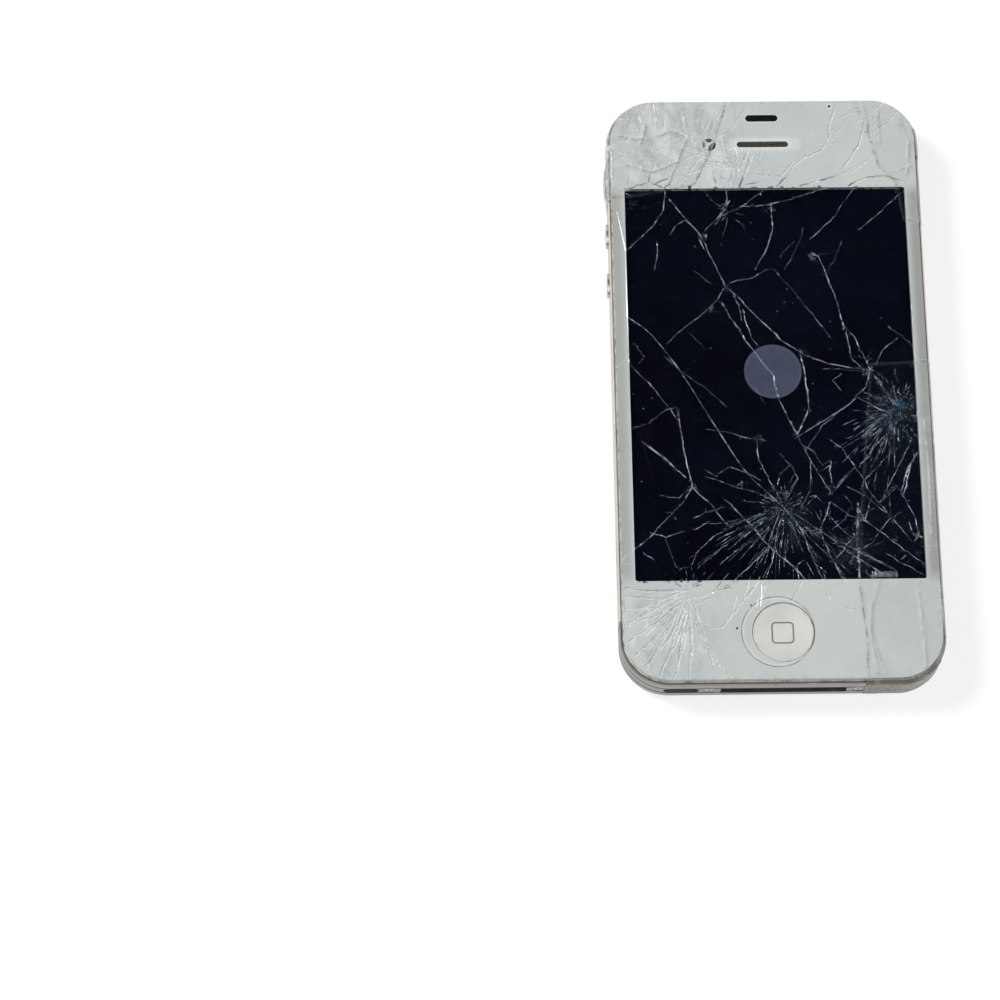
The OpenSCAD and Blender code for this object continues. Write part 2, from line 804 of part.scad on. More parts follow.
// Round key in the left side with the flange that keeps it in
module volume_key(y) {
  x0 = -inner_hw + 0.1;
  color(c_steel) union() {
    translate([-hw - key_proud, y, z_mid]) rotate([0, 90, 0])
      cylinder(d = key_d, h = band_wall + key_proud + 0.2);
    block([x0, y - key_d / 2 - key_rim, z_mid - 2],
      [x0 + key_flange_t, y + key_d / 2 + key_rim, z_plate - 0.1]);
  }
}

// Sheet steel bracket with a dome switch behind each volume key
module key_bracket() {
  x_dome = -inner_hw + 0.1 + key_flange_t + key_travel + fit_gap;
  x_plate = x_dome + 0.3;
  foot = 1.2;
  color(c_steel) union() {
    block([x_plate, volume_down_y - 5.6, z_mid - 2], [x_plate + 0.4, volume_up_y + 4.6, z_mid + 1.2]);
    for (y = [volume_up_y, volume_down_y])
      translate([x_dome, y, z_mid]) rotate([0, 90, 0]) cylinder(d = 2.2, h = 0.4);
    for (y = [volume_down_y - 5.6, (volume_up_y + volume_down_y) / 2 - foot / 2, volume_up_y + 3.4])
      block([-inner_hw + fit_gap, y, z_mid - 2], [x_plate + 0.1, y + foot, z_mid + 1.2]);
  }
}

// Lever shown pushed towards the front of the phone
module mute_lever() {
  z = z_mid + mute_travel / 2;
  color(c_steel) union() {
    block([-hw - key_proud, mute_y - mute_l / 2, z - mute_h / 2],
      [-inner_hw + 0.2, mute_y + mute_l / 2, z + mute_h / 2]);
    block([-inner_hw + 0.1, mute_y - mute_l / 2 - 0.7, z - mute_h / 2 - 0.3],
      [-inner_hw + 0.8, mute_y + mute_l / 2 + 0.7, z + mute_h / 2 + 0.05]);
  }
}

module mute_switch_body() {
  color(c_dark) block([-inner_hw + 0.8 + fit_gap, mute_y - 4, z_mid - 2.4],
    [min(battery_x - 0.4, 2.9 - inner_hw), mute_y + 4, z_plate - 0.1]);
}

module sleep_key() {
  color(c_steel) {
    along_y(inner_hl - 0.2, hl + key_proud) translate([sleep_x, z_mid]) stadium(sleep_l, sleep_h);
    along_y(inner_hl - 0.1 - sleep_flange_t, inner_hl - 0.1) translate([sleep_x, z_mid])
      stadium(sleep_l + 0.8, sleep_h + 0.8);
  }
}

module sleep_switch() {
  y1 = inner_hl - 0.1 - sleep_flange_t - key_travel - fit_gap;
  color(c_steel) union() {
    block([sleep_x - 4, y1 - 0.8, z_board_top + fit_gap], [sleep_x + 4, y1 - 0.3, z_mid + 1.2]);
    translate([sleep_x, y1, z_mid]) rotate([90, 0, 0]) cylinder(d = 2.2, h = 0.4);
  }
}

// Card tray, card and socket

module card_tray() {
  x1 = inner_hw;
  pocket = [card_w + 0.2, card_l + 0.2];
  px = x1 - tray_l + tray_rim;
  color(c_steel) difference() {
    union() {
      along_x(x1, hw) translate([0, z_mid]) stadium(tray_face_l, tray_face_h);
      block([x1 - tray_l, -tray_half, z_tray], [x1 + 0.1, tray_half, z_tray + tray_t]);
    }
    translate([px, -pocket[1] / 2, z_tray + tray_t - card_t - 0.1]) cube([pocket[0], pocket[1], 2]);
    translate([px + 1, -pocket[1] / 2 + 1, 0]) cube([pocket[0] - 2, pocket[1] - 2, body_t]);
    translate([x1 - 1, -tray_face_l / 2 + 1.9, z_mid]) rotate([0, 90, 0])
      cylinder(d = 0.9, h = band_wall + 2);
  }
}

module phone_card() {
  x0 = inner_hw - tray_l + tray_rim + 0.1;
  z0 = z_tray + tray_t - card_t - 0.05;
  notch = 2;
  color(c_gold) translate([x0, -card_l / 2, z0]) linear_extrude(card_t) polygon([
    [0, 0], [card_w, 0], [card_w, card_l], [notch, card_l], [0, card_l - notch]
  ]);
}

module card_socket() {
  y = socket_half - socket_wall;
  x0 = inner_hw - tray_l - 0.4;
  a = [x0 - socket_wall, -socket_half, z_board_top + fit_gap];
  b = [inner_hw - 0.4, socket_half, z_tray + tray_t + 0.35];
  color(c_steel) difference() {
    block(a, b);
    block([x0, -y, z_tray - 0.1], [hw, y, z_tray + tray_t + 0.15]);
  }
}

// Dock socket

module dock_socket() {
  w = dock_w / 2 + dock_wall;
  h = dock_h / 2 + dock_wall;
  color(c_steel) difference() {
    block([-w, dock_y, dock_z - h], [w, dock_y + dock_depth + 0.6, dock_z + h]);
    block([-dock_w / 2, dock_y - 1, dock_z - dock_h / 2],
      [dock_w / 2, dock_y + dock_depth, dock_z + dock_h / 2]);
  }
}

module dock_tongue() {
  color(c_dark) block([-tongue_w / 2, dock_y + 0.6, dock_z - tongue_t / 2],
    [tongue_w / 2, dock_y + dock_depth - 0.02, dock_z + tongue_t / 2]);
}

module dock_contacts() {
  pitch = (tongue_w - 1) / (dock_contact_count - 1);
  z = dock_z + tongue_t / 2 + 0.02;
  color(c_gold) for (i = [0 : dock_contact_count - 1])
    translate([(i - (dock_contact_count - 1) / 2) * pitch, 0, 0])
      block([-0.15, dock_y + 1, z], [0.15, dock_y + dock_depth - 0.3, z + 0.1]);
}

// Loudspeaker box, grilles and screws at the bottom end

module speaker_enclosure() {
  wall = box_wall;
  z0 = z_band + 0.1;
  z1 = z_plate - fit_gap;
  mouth_y = -inner_hl + 0.5;
  color(c_dark) difference() {
    intersection() {
      inset_slab(band_wall + 0.3, z0, z1);
      union() {
        block([box_x, mouth_y, 0], [hw, box_top, body_t]);
        block([-dock_w / 2, box_y + 0.1, 0], [hw, box_top, body_t]);
      }
    }
    intersection() {
      inset_slab(band_wall + 0.3 + wall, z0 + wall, z1 - wall);
      union() {
        block([box_x + wall, mouth_y, 0], [hw, box_top - wall, body_t]);
        block([-dock_w / 2 + wall, box_y + 0.1 + wall, 0], [hw, box_top - wall, body_t]);
      }
    }
    block([grille_x - 2.6, -hl, z_mid - 0.8], [grille_x + 2.6, box_y, z_mid + 0.8]);
  }
}

module loudspeaker() {
  z0 = z_band + 0.1 + box_wall + 0.02;
  color(c_black) union() {
    block([box_x + 1.6, box_y + 1.2, z0], [box_x + 9.6, box_top - 1, z0 + 1.6]);
    translate([box_x + 5.6, (box_y + box_top) / 2, z0]) cylinder(d = 4, h = 2.1);
  }
}

module grille_meshes() {
  y = -inner_hl + 0.25;
  color(c_dark) for (s = [-1, 1]) along_y(y, y + 0.2) translate([s * grille_x, z_mid])
    stadium(grille_w + 0.6, grille_h + 0.6);
}

module bottom_screws() {
  head_t = 0.7;
  color(c_steel) for (s = [-1, 1]) translate([s * screw_x, -hl + 0.07, z_mid]) rotate([-90, 0, 0])
    difference() {
      union() {
        cylinder(d = 1.7, h = head_t);
        cylinder(d = 1.2, h = band_wall + 2.4);
      }
      cube([1.1, 0.25, 0.5], center = true);
      cube([0.25, 1.1, 0.5], center = true);
    }
}

// Rear cover

module rear_frame() {
  lug_w = 1.35;
  lug_y = -inner_hl + fit_gap;
  color(c_white) difference() {
    union() {
      inset_slab(lip_inset, z_frame, z_band);
      for (s = [-1, 1]) block([s * screw_x - lug_w, lug_y, z_frame],
        [s * screw_x + lug_w, lug_y + 2.6, z_mid + 1.2]);
    }
    for (s = [-1, 1]) translate([s * screw_x, -hl, z_mid]) rotate([-90, 0, 0])
      cylinder(d = 1.3, h = 8);
    translate([camera_x, camera_y, 0]) cylinder(d = 6.8, h = body_t);
    translate([flash_x, camera_y, 0]) cylinder(d = flash_d + 0.2, h = body_t);
  }
}

module rear_glass() {
  color(c_white) difference() {
    inset_slab(front_inset, 0, rear_glass_t);
    translate([camera_x, camera_y, -1]) cylinder(d = camera_ring_d + 0.1, h = 4);
    translate([flash_x, camera_y, -1]) cylinder(d = flash_d + 0.2, h = 4);
  }
}

// Adhesive film

// Skin over the front half of the phone, grown outwards by g
module film_skin(g) {
  hull() {
    translate([0, 0, body_t - 0.5 + g]) linear_extrude(0.5)
      film_outline(front_inset - g);
    translate([0, 0, z_band + 0.1]) linear_extrude(z_lip - z_band - band_chamfer)
      film_outline(-g);
  }
}

module film_outline(inset) {
  w = hw - corner_r;
  l = hl - corner_r;
  r = (corner_r - inset) / cos(180 / film_fn);
  polygon([for (i = [0 : film_fn - 1])
    let (a = 360 * (i + 0.5) / film_fn)
    [sign(cos(a)) * w + r * cos(a), sign(sin(a)) * l + r * sin(a)]]);
}

// Tent in the film over the mute switch, grown outwards by g
module mute_tent(g) {
  x = -hw - film_tent - g;
  hull() {
    block([x, mute_y - 3.4 - g, z_mid - 1.9 - g], [-hw, mute_y + 3.4 + g, z_mid + 1.9 + g]);
    block([-hw - 0.02, mute_y - 4.4 - g, z_mid - 2.6 - g], [-hw, mute_y + 4.4 + g, z_mid + 2.6 + g]);
  }
}

// Film laid over the area that the children outline
module film(tent) {
  color(c_film) intersection() {
    difference() {
      union() {
        film_skin(0.03 + film_t);
        if (tent) mute_tent(0.03 + film_t);
      }
      film_skin(0.03);
      if (tent) mute_tent(0.03);
    }
    children();
  }
}

module film_top_left() {
  film(true) difference() {
    linear_extrude(body_t + 1) polygon([
      [-hw - 3, hl - 20.5], [-hw + 4, hl - 20.4], [-hw + 10, hl - 19.5], [-hw + 16.4, hl - 18],
      [-hw + 20, hl - 10], [-hw + 23, hl + 2], [-hw - 3, hl + 2]
    ]);
    block([jack_x - jack_d - 0.6, hl - 0.3, 0], [mic_x + 1.5, hl + 3, z_lip]);
  }
}

module film_top_right() {
  film(false) difference() {
    linear_extrude(body_t + 1) polygon([
      [hw - 12.4, hl + 2], [hw - 8.6, hl - 8], [hw - 6.6, hl - 16], [hw - 3.6, hl - 19],
      [hw - 2.9, hl - 26.2], [hw + 2, hl - 26.4], [hw + 2, hl + 2]
    ]);
    block([sleep_x - 8, hl - 0.3, 0], [sleep_x + sleep_l / 2 + 0.6, hl + 3, z_lip]);
  }
}

module film_lower_right() {
  tray_clear = tray_face_l / 2 + 2;
  film(false) difference() {
    linear_extrude(body_t + 1) polygon([
      [hw - 14.5, -hl - 2], [hw - 14.8, -hl + 8], [hw - 15.6, -hl + 20], [hw - 14.8, -hl + 32],
      [hw - 11, 3.4], [hw + 2, 4.2], [hw + 2, -hl - 2]
    ]);
    block([hw - 0.3, -tray_clear, 0], [hw + 3, 8, z_mid + tray_face_h / 2 + 0.4]);
  }
}

front_glass();
front_bezel();
lcd_panel();
lcd_backlight();
lcd_flex();
touch_flex();
home_button();
home_gasket();
home_switch();
earpiece_mesh();
earpiece_speaker();
proximity_sensor();
front_camera();
band_top();
band_bottom();
band_left();
band_right();
break_strip(-1, 1);  // break_strip_top_left
break_strip(1, 1);  // break_strip_top_right
break_strip(-1, -1);  // break_strip_bottom_left
break_strip(1, -1);  // break_strip_bottom_right
mid_plate();
battery();
battery_pull_tab();
battery_connector();
logic_board();
board_chips();
shield(shield_y, flex_y - 1);  // shield_upper
shield(board_end_y + 4, -shield_y);  // shield_lower
board_screws();
rear_camera();
camera_ring();
camera_window();
camera_flash();
vibration_motor();
motor_weight();
headphone_jack();
microphones();
sleep_key();
sleep_switch();
volume_key(volume_up_y);  // volume_up_key
volume_key(volume_down_y);  // volume_down_key
key_bracket();
mute_lever();
mute_switch_body();
card_tray();
phone_card();
card_socket();
dock_socket();
dock_tongue();
dock_contacts();
speaker_enclosure();
loudspeaker();
grille_meshes();
bottom_screws();
rear_frame();
rear_glass();
film_top_left();
film_top_right();
film_lower_right();
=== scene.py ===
import math
import random

import bpy
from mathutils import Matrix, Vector, geometry, kdtree, noise


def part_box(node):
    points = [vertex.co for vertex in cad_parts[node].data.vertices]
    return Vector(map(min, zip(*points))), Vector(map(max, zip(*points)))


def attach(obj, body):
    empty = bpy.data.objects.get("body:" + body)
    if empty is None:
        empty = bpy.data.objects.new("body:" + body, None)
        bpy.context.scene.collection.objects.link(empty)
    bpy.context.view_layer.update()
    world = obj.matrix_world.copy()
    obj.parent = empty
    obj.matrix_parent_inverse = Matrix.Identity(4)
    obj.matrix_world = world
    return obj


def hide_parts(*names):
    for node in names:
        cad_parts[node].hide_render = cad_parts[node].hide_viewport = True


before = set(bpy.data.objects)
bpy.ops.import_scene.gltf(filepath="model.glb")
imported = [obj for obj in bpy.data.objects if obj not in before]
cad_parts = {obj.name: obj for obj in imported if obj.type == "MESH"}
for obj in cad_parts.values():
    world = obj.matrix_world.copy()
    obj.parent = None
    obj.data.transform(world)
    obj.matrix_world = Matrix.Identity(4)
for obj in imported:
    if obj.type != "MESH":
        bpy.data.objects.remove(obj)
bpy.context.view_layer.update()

# Lengths below are in millimetres unless a line says metres, and meshes are made in metres
MM = 0.001
TURN = 2 * math.pi

# ---------------------------------------------------------------- sizes
glass_low, glass_high = (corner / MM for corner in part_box("front_glass"))
GLASS_W = glass_high.x
GLASS_L = glass_high.y
GLASS_TOP = glass_high.z
GLASS_UNDER = glass_low.z
GLASS_CORNER = 8.1

# Side band, with a groove this far above its middle and another below
band_low, band_high = (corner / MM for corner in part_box("band_right"))
BAND_MIDDLE = (band_low.z + band_high.z) / 2
GROOVE_OFFSET = 1.15

home_low, home_high = (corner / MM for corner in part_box("home_button"))
HOME_Y = (home_low.y + home_high.y) / 2
HOME_TOP = home_high.z
HOME_FLANGE = home_low.z + 0.3
HOME_R = 5.54
HOME_HOLE_R = 5.6
HOME_CENTRE = (0, HOME_Y)

ear_low, ear_high = (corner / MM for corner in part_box("earpiece_mesh"))
EAR_Y = (ear_low.y + ear_high.y) / 2
EAR_W = 9.7
EAR_H = 1.2
SENSOR_Y = 53.4
CAMERA_X = -10.1
CAMERA_LENS_R = 1.3

# Clear window in the white print: left, right, bottom and top edges
WINDOW = (-26.27, 26.27, -38.36, 39.0)
WINDOW_CORNER = 0.5
WINDOW_LEFT, WINDOW_RIGHT, WINDOW_LOW, WINDOW_HIGH = WINDOW
WINDOW_MIDDLE = (WINDOW_LOW + WINDOW_HIGH) / 2
WINDOW_HALF = (WINDOW_HIGH - WINDOW_LOW) / 2

# Lit disc on the display: centre and radius
DISC = (0.2, 2.4, 5.3)

# The side that the main light falls from, seen from above, and the centres of the three blows
LIGHT_SIDE = Vector((-0.5, 0.87))
STRIKE_RIGHT = (23, -5.5)
STRIKE_MIDDLE = (1, -24.5)
STRIKE_LOW = (-16.5, -40)


# ---------------------------------------------------------------- materials
class Value:
    """One output of a material's node, used in sums as a number."""

    def __init__(self, paint, socket):
        self.paint = paint
        self.socket = socket

    def math(self, operation, *others):
        return self.paint.node("ShaderNodeMath", {"operation": operation}, [self, *others])

    def __add__(self, other):
        return self.math("ADD", other)

    def __sub__(self, other):
        return self.math("SUBTRACT", other)

    def __rsub__(self, other):
        return self.paint.node("ShaderNodeMath", {"operation": "SUBTRACT"}, [other, self])

    def __mul__(self, other):
        return self.math("MULTIPLY", other)

    def __truediv__(self, other):
        return self.math("DIVIDE", other)

    def __pow__(self, other):
        return self.math("POWER", other)

    def __abs__(self):
        return self.math("ABSOLUTE")

    __radd__ = __add__
    __rmul__ = __mul__

    def most(self, other):
        return self.math("MAXIMUM", other)

    def least(self, other):
        return self.math("MINIMUM", other)

    def fade(self, low, high):
        """0 below low, 1 above high, and smooth between them."""
        return self.paint.node("ShaderNodeMapRange", {"interpolation_type": "SMOOTHSTEP"},
                               {"Value": self, "From Min": low, "From Max": high})

    def fall(self, low, high):
        """1 below low, 0 above high."""
        return 1 - self.fade(low, high)


class Paint:
    """A procedural material on object coordinates, in millimetres."""

    def __init__(self, name):
        self.material = bpy.data.materials.new(name)
        self.material.use_nodes = True
        self.tree = self.material.node_tree
        self.tree.nodes.clear()
        self.output = self.tree.nodes.new("ShaderNodeOutputMaterial")
        coordinates = self.tree.nodes.new("ShaderNodeTexCoord")
        self.place = self.node("ShaderNodeVectorMath", {"operation": "SCALE"},
                               {"Vector": coordinates.outputs["Object"], "Scale": 1 / MM})
        split = self.tree.nodes.new("ShaderNodeSeparateXYZ")
        self.tree.links.new(self.place.socket, split.inputs[0])
        self.x, self.y, self.z = (Value(self, split.outputs[i]) for i in range(3))

    def node(self, kind, settings=None, inputs=None, out=0):
        """Adds a node with its settings, then its inputs, and returns one of its outputs."""
        made = self.tree.nodes.new(kind)
        for name, setting in (settings or {}).items():
            setattr(made, name, setting)
        pairs = inputs.items() if isinstance(inputs, dict) else enumerate(inputs or [])
        for key, given in pairs:
            if isinstance(given, Value):
                given = given.socket
            if isinstance(given, bpy.types.NodeSocket):
                self.tree.links.new(given, made.inputs[key])
            else:
                made.inputs[key].default_value = given
        return Value(self, made.outputs[out])

    def attribute(self, name):
        """A number that the piece's mesh gives for each point or corner."""
        return self.node("ShaderNodeAttribute", {"attribute_name": name}, out="Fac")

    def noise(self, scale, detail=3, stretch=(1, 1, 1), seed=0.0, rough=0.55):
        """Noise from 0 to 1, with about one blob in each 1 / scale millimetres."""
        where = self.node("ShaderNodeVectorMath", {"operation": "MULTIPLY_ADD"},
                          {0: self.place, 1: stretch, 2: (seed, seed * 1.7, -seed)})
        return self.node("ShaderNodeTexNoise", {"noise_dimensions": "3D"},
                         {"Vector": where, "Scale": scale, "Detail": detail, "Roughness": rough})

    def cell_walls(self, scale):
        """Distance to the nearest wall of flat cells, 1 / scale millimetres across."""
        where = self.node("ShaderNodeVectorMath", {"operation": "MULTIPLY"}, {0: self.place, 1: (1, 1, 0)})
        return self.node("ShaderNodeTexVoronoi", {"feature": "DISTANCE_TO_EDGE"},
                         {"Vector": where, "Scale": scale}, out="Distance")

    def mix(self, share, first, second):
        """Colour first where share is 0, and second where it is 1."""
        made = self.tree.nodes.new("ShaderNodeMix")
        made.data_type = "RGBA"
        made.clamp_factor = True
        for index, given in ((0, share), (6, first), (7, second)):
            if isinstance(given, Value):
                self.tree.links.new(given.socket, made.inputs[index])
            else:
                made.inputs[index].default_value = given if index == 0 else (*given, 1)
        return Value(self, made.outputs[2])

    def bump(self, height, depth, strength=1.0):
        """A normal from a height of 0 to 1 that stands for a depth in millimetres."""
        return self.node("ShaderNodeBump", None,
                         {"Strength": strength, "Distance": depth * MM, "Height": height})

    def finish(self, **sockets):
        """Ends in a Principled shader; a socket's name has _ for a space."""
        shader = self.tree.nodes.new("ShaderNodeBsdfPrincipled")
        for name, given in sockets.items():
            socket = shader.inputs[name.replace("_", " ")]
            if isinstance(given, Value):
                self.tree.links.new(given.socket, socket)
            elif isinstance(given, tuple) and len(given) == 3:
                socket.default_value = (*given, 1)
            else:
                socket.default_value = given
        self.tree.links.new(shader.outputs[0], self.output.inputs[0])
        return self.material

    def away(self, x, y):
        """Distance from a vertical axis."""
        return ((self.x - x) ** 2 + (self.y - y) ** 2) ** 0.5

    def round_mark(self, x, y, radius, soft=0.08):
        """1 inside a disc, 0 outside it."""
        return self.away(x, y).fall(radius - soft, radius + soft)

    def round_marks(self, *marks):
        """Sum of discs, each given as x, y, radius and softness."""
        first, *others = (self.round_mark(*mark) for mark in marks)
        return sum(others, first)

    def slot_mark(self, x, y, width, height, soft=0.06):
        """1 inside a flat slot with round ends."""
        along = (abs(self.x - x) - (width - height) / 2).most(0)
        away = (along ** 2 + (self.y - y) ** 2) ** 0.5
        return away.fall(height / 2 - soft, height / 2 + soft)

    def box_distance(self, x, y, half_w, half_l, corner):
        """Signed distance to a rectangle with round corners, in millimetres."""
        across = abs(self.x - x) - (half_w - corner)
        along = abs(self.y - y) - (half_l - corner)
        outside = (across.most(0) ** 2 + along.most(0) ** 2) ** 0.5
        return outside + across.most(along).least(0) - corner

    def window_distance(self):
        """Signed distance to the edge of the clear window."""
        return self.box_distance(0, WINDOW_MIDDLE, WINDOW_RIGHT, WINDOW_HALF, WINDOW_CORNER)


def white_print():
    """White print under the front glass, with its dark marks and the relief of its cracks, partly as painted
    shade and painted highlights.
    """
    p = Paint("white_print")
    crack = p.attribute("crack")
    flank = p.attribute("flank")
    cloud = p.noise(0.07, 4)
    fine = p.noise(0.6, 4, seed=3)
    base = p.mix(cloud.fade(0.3, 0.7), (0.545, 0.59, 0.585), (0.605, 0.64, 0.63))
    # Painted shade: the long narrow sides beside the window are greyer, the right one most
    side = (abs(p.x) / GLASS_W).fade(0.9, 0.97) * (abs(p.y - 0.3) / 40).fall(0.92, 1.0)
    right = p.x.fade(20, 28)
    base = p.mix(side * (0.65 + 0.3 * right), base, (0.34, 0.355, 0.335))
    base = p.mix(fine.fade(0.62, 0.9) * 0.25, base, (0.42, 0.44, 0.42))
    # Painted highlights and painted shade: lighter and darker ripples over the crazed relief at both ends
    ripple = p.noise(0.45, 4, (1, 0.5, 1), seed=33)
    crazed_end = p.y.fade(36, 44) * p.x.fall(-12, 4) + p.y.fall(-46, -38) * p.x.fall(-20, -8)
    base = p.mix(ripple.fade(0.52, 0.66) * crazed_end * 0.6, base, (0.76, 0.79, 0.78))
    base = p.mix(ripple.fall(0.36, 0.46) * crazed_end * 0.5, base, (0.38, 0.42, 0.41))
    grime = p.noise(0.9, 5, seed=8).fade(0.5, 0.75)
    rim = p.box_distance(0, 0, GLASS_W, GLASS_L, GLASS_CORNER).fade(-0.9, 0.0)
    base = p.mix(rim * grime * 0.55, base, (0.30, 0.29, 0.24))
    # Painted shade on the flank of a crack that leans away from the main light, and a painted highlight on
    # the flank that leans towards it
    vein = p.noise(0.5, 2, seed=5).fade(0.25, 0.6)
    depth = crack.fade(0.02, 0.35)
    base = p.mix(depth * flank.fade(0.0, 0.6) * (0.2 + 0.42 * vein), base, (0.28, 0.30, 0.295))
    base = p.mix(depth * flank.fall(-0.6, 0.0) * (0.82 - 0.3 * vein), base, (0.88, 0.91, 0.90))
    # Runs turn dark where they come close to the ends of the window
    top_edge = p.y.fade(38.9, 39.1) * p.y.fall(40.4, 42.0)
    low_edge = p.y.fade(-40.6, -39.2) * p.y.fall(-38.4, -38.3) * p.x.fall(-12, -4)
    dark_run = depth * (top_edge + low_edge) * p.noise(0.35, 3, seed=70).fade(0.42, 0.56)
    base = p.mix(dark_run * 0.85, base, (0.05, 0.055, 0.06))
    jagged = p.window_distance().fall(0.1, 0.5) * (top_edge + low_edge)
    base = p.mix(jagged * p.noise(0.9, 4, seed=71).fade(0.55, 0.62), base, (0.02, 0.022, 0.026))
    # Pale rims about the earpiece, a painted reflection of its slot's bevel, and about the sensor, then the
    # dark marks
    base = p.mix(p.slot_mark(0.4, EAR_Y, 13.6, 3.0, 0.5) * 0.45, base, (0.76, 0.78, 0.77))
    base = p.mix(p.slot_mark(0.1, EAR_Y, 10.7, 2.2, 0.12) * 0.7, base, (0.76, 0.77, 0.75))
    base = p.mix(p.slot_mark(0, SENSOR_Y, 6.8, 2.0, 0.1) * 0.5, base, (0.68, 0.70, 0.68))
    # Crack that rings the home button, a little off its centre, with a pale inner flank
    ring = p.away(-0.97, -48.1)
    base = p.mix(abs(ring - 6.55).fall(0.06, 0.16) * (0.3 + 0.5 * vein), base, (0.20, 0.21, 0.19))
    base = p.mix(abs(ring - 6.25).fall(0.1, 0.3) * 0.5, base, (0.74, 0.76, 0.74))
    pill = p.slot_mark(0, SENSOR_Y, 6.1, 1.35)
    chip = p.round_mark(12.9, 55.8, 0.26) + p.round_mark(-14, 39.3, 0.35) * 0.9
    chip = chip + p.round_mark(-5.6, -43.1, 0.17) + p.round_mark(-8.3, -47.4, 0.2)
    base = p.mix(p.round_mark(12.9, 55.8, 0.6, 0.2) * 0.7, base, (0.74, 0.76, 0.74))
    base = p.mix(p.round_mark(CAMERA_X, EAR_Y, 1.5, 0.1) * 0.6, base, (0.76, 0.78, 0.76))
    lens = camera_wedges(p)
    ink = pill.most(chip).most(lens)
    base = p.mix(ink, base, (0.006, 0.007, 0.009))
    rough = 0.16 + 0.2 * fine.fade(0.4, 0.8)
    relief = p.bump(p.noise(0.35, 3, seed=11), 0.05, 0.5)
    return p.finish(Base_Color=base, Roughness=rough, Normal=relief, Coat_Weight=0.25, Coat_Roughness=0.08)


def camera_wedges(p):
    """Dark wedges of the front camera's lens seen between the cracks that cross it."""
    disc = p.round_mark(CAMERA_X, EAR_Y, CAMERA_LENS_R)
    angle = p.node("ShaderNodeMath", {"operation": "ARCTAN2"}, [p.y - EAR_Y, p.x - CAMERA_X])
    away = p.away(CAMERA_X, EAR_Y)
    lower_right = angle.fade(-1.9, -1.6) * angle.fall(0.35, 0.6) * away.fade(0.15, 0.35)
    top = angle.fade(0.85, 1.05) * angle.fall(2.0, 2.3) * away.fade(0.4, 0.6)
    left = abs(angle).fade(2.5, 2.7) * away.fade(0.6, 0.8) * 0.75
    ring = abs(away - (CAMERA_LENS_R - 0.1)).fall(0.05, 0.14) * 0.6
    return disc * lower_right.most(top).most(left).most(ring)


def clear_window():
    """Clear glass over the display: dark where whole, whitish in its cracks."""
    p = Paint("clear_window")
    crack = p.attribute("crack")
    flank = p.attribute("flank")
    vein = p.noise(0.6, 4, seed=2).fade(0.44, 0.64)
    grit = p.noise(5, 2, seed=7).fade(0.35, 0.65)
    # Whitish crack faces, with painted shade on the flank that leans away from the main light and painted
    # glints where spark is high
    spark = p.noise(1.1, 3, seed=61).fade(0.55, 0.66)
    light = crack * (0.25 + 1.2 * vein) * (0.3 + 1.1 * grit) * (1.0 - 0.45 * flank) * (1 + 1.4 * spark)
    near = p.round_marks((22.5, -6.5, 3.5, 4), (1, -26, 2.5, 5), (13, -33, 2, 4))
    near = near.least(1) * p.noise(0.55, 4, seed=27).fade(0.36, 0.62)
    crush = p.cell_walls(0.9).fall(0.015, 0.06) * near * 0.07
    mist = near * grit * 0.015 + p.noise(0.3, 5, seed=50).fade(0.5, 0.75) * grit * 0.004
    dust = p.noise(4.5, 3, seed=21).fade(0.73, 0.8) * p.noise(0.2, 2, seed=4).fade(0.45, 0.62) * 0.22
    hatch = p.box_distance(18.7, -37.45, 2.3, 0.5, 0.1).fall(-0.05, 0.1)
    hatch = hatch * (0.35 + p.noise(3.4, 1, (1, 0.15, 1), seed=23).fade(0.4, 0.55)) * 0.16
    share = (light + dust + crush + mist + hatch).least(1)
    blue = p.noise(0.08, 2, seed=40).fade(0.35, 0.65)
    frost = p.mix(blue, (0.46, 0.58, 0.76), (0.66, 0.72, 0.82))
    base = p.mix(share / (share + 0.3), (0.001, 0.002, 0.004), frost)
    return p.finish(Base_Color=base, Roughness=0.06 + 0.4 * light, Alpha=(0.3 + share).least(1))


def display():
    """Near-black display with a faint blue glow, bruised by the blows, and one plain lit disc."""
    p = Paint("display")
    x, y, radius = DISC
    glow = p.mix(p.noise(0.05, 3).fade(0.35, 0.7), (0.0, 0.0002, 0.003), (0.0006, 0.003, 0.010))
    bruise = p.round_marks((23, -7.5, 4.0, 3.5), (14, -33, 3, 3), (2, -26, 3, 3))
    glow = p.mix(bruise.least(1) * p.noise(0.7, 4, seed=6).fade(0.4, 0.65) * 0.8, glow, (0.001, 0.018, 0.026))
    teal = p.round_mark(23.3, -4.4, 0.55, 0.6) * p.noise(1.6, 3, seed=9).fade(0.25, 0.6)
    glow = p.mix(teal, glow, (0.004, 0.17, 0.26))
    away = p.away(x, y)
    disc = away.fall(radius - 0.1, radius + 0.1)
    rim = away.fade(radius - 0.9, radius - 0.1) * disc
    lit = p.mix(p.noise(0.3, 2).fade(0.3, 0.7), (0.105, 0.125, 0.205), (0.125, 0.145, 0.23))
    lit = p.mix(rim * 0.5, lit, (0.17, 0.165, 0.25))
    colour = p.mix(disc, glow, lit)
    return p.finish(Base_Color=(0.002, 0.002, 0.004), Roughness=0.25, Emission_Color=colour,
                    Emission_Strength=1.0)


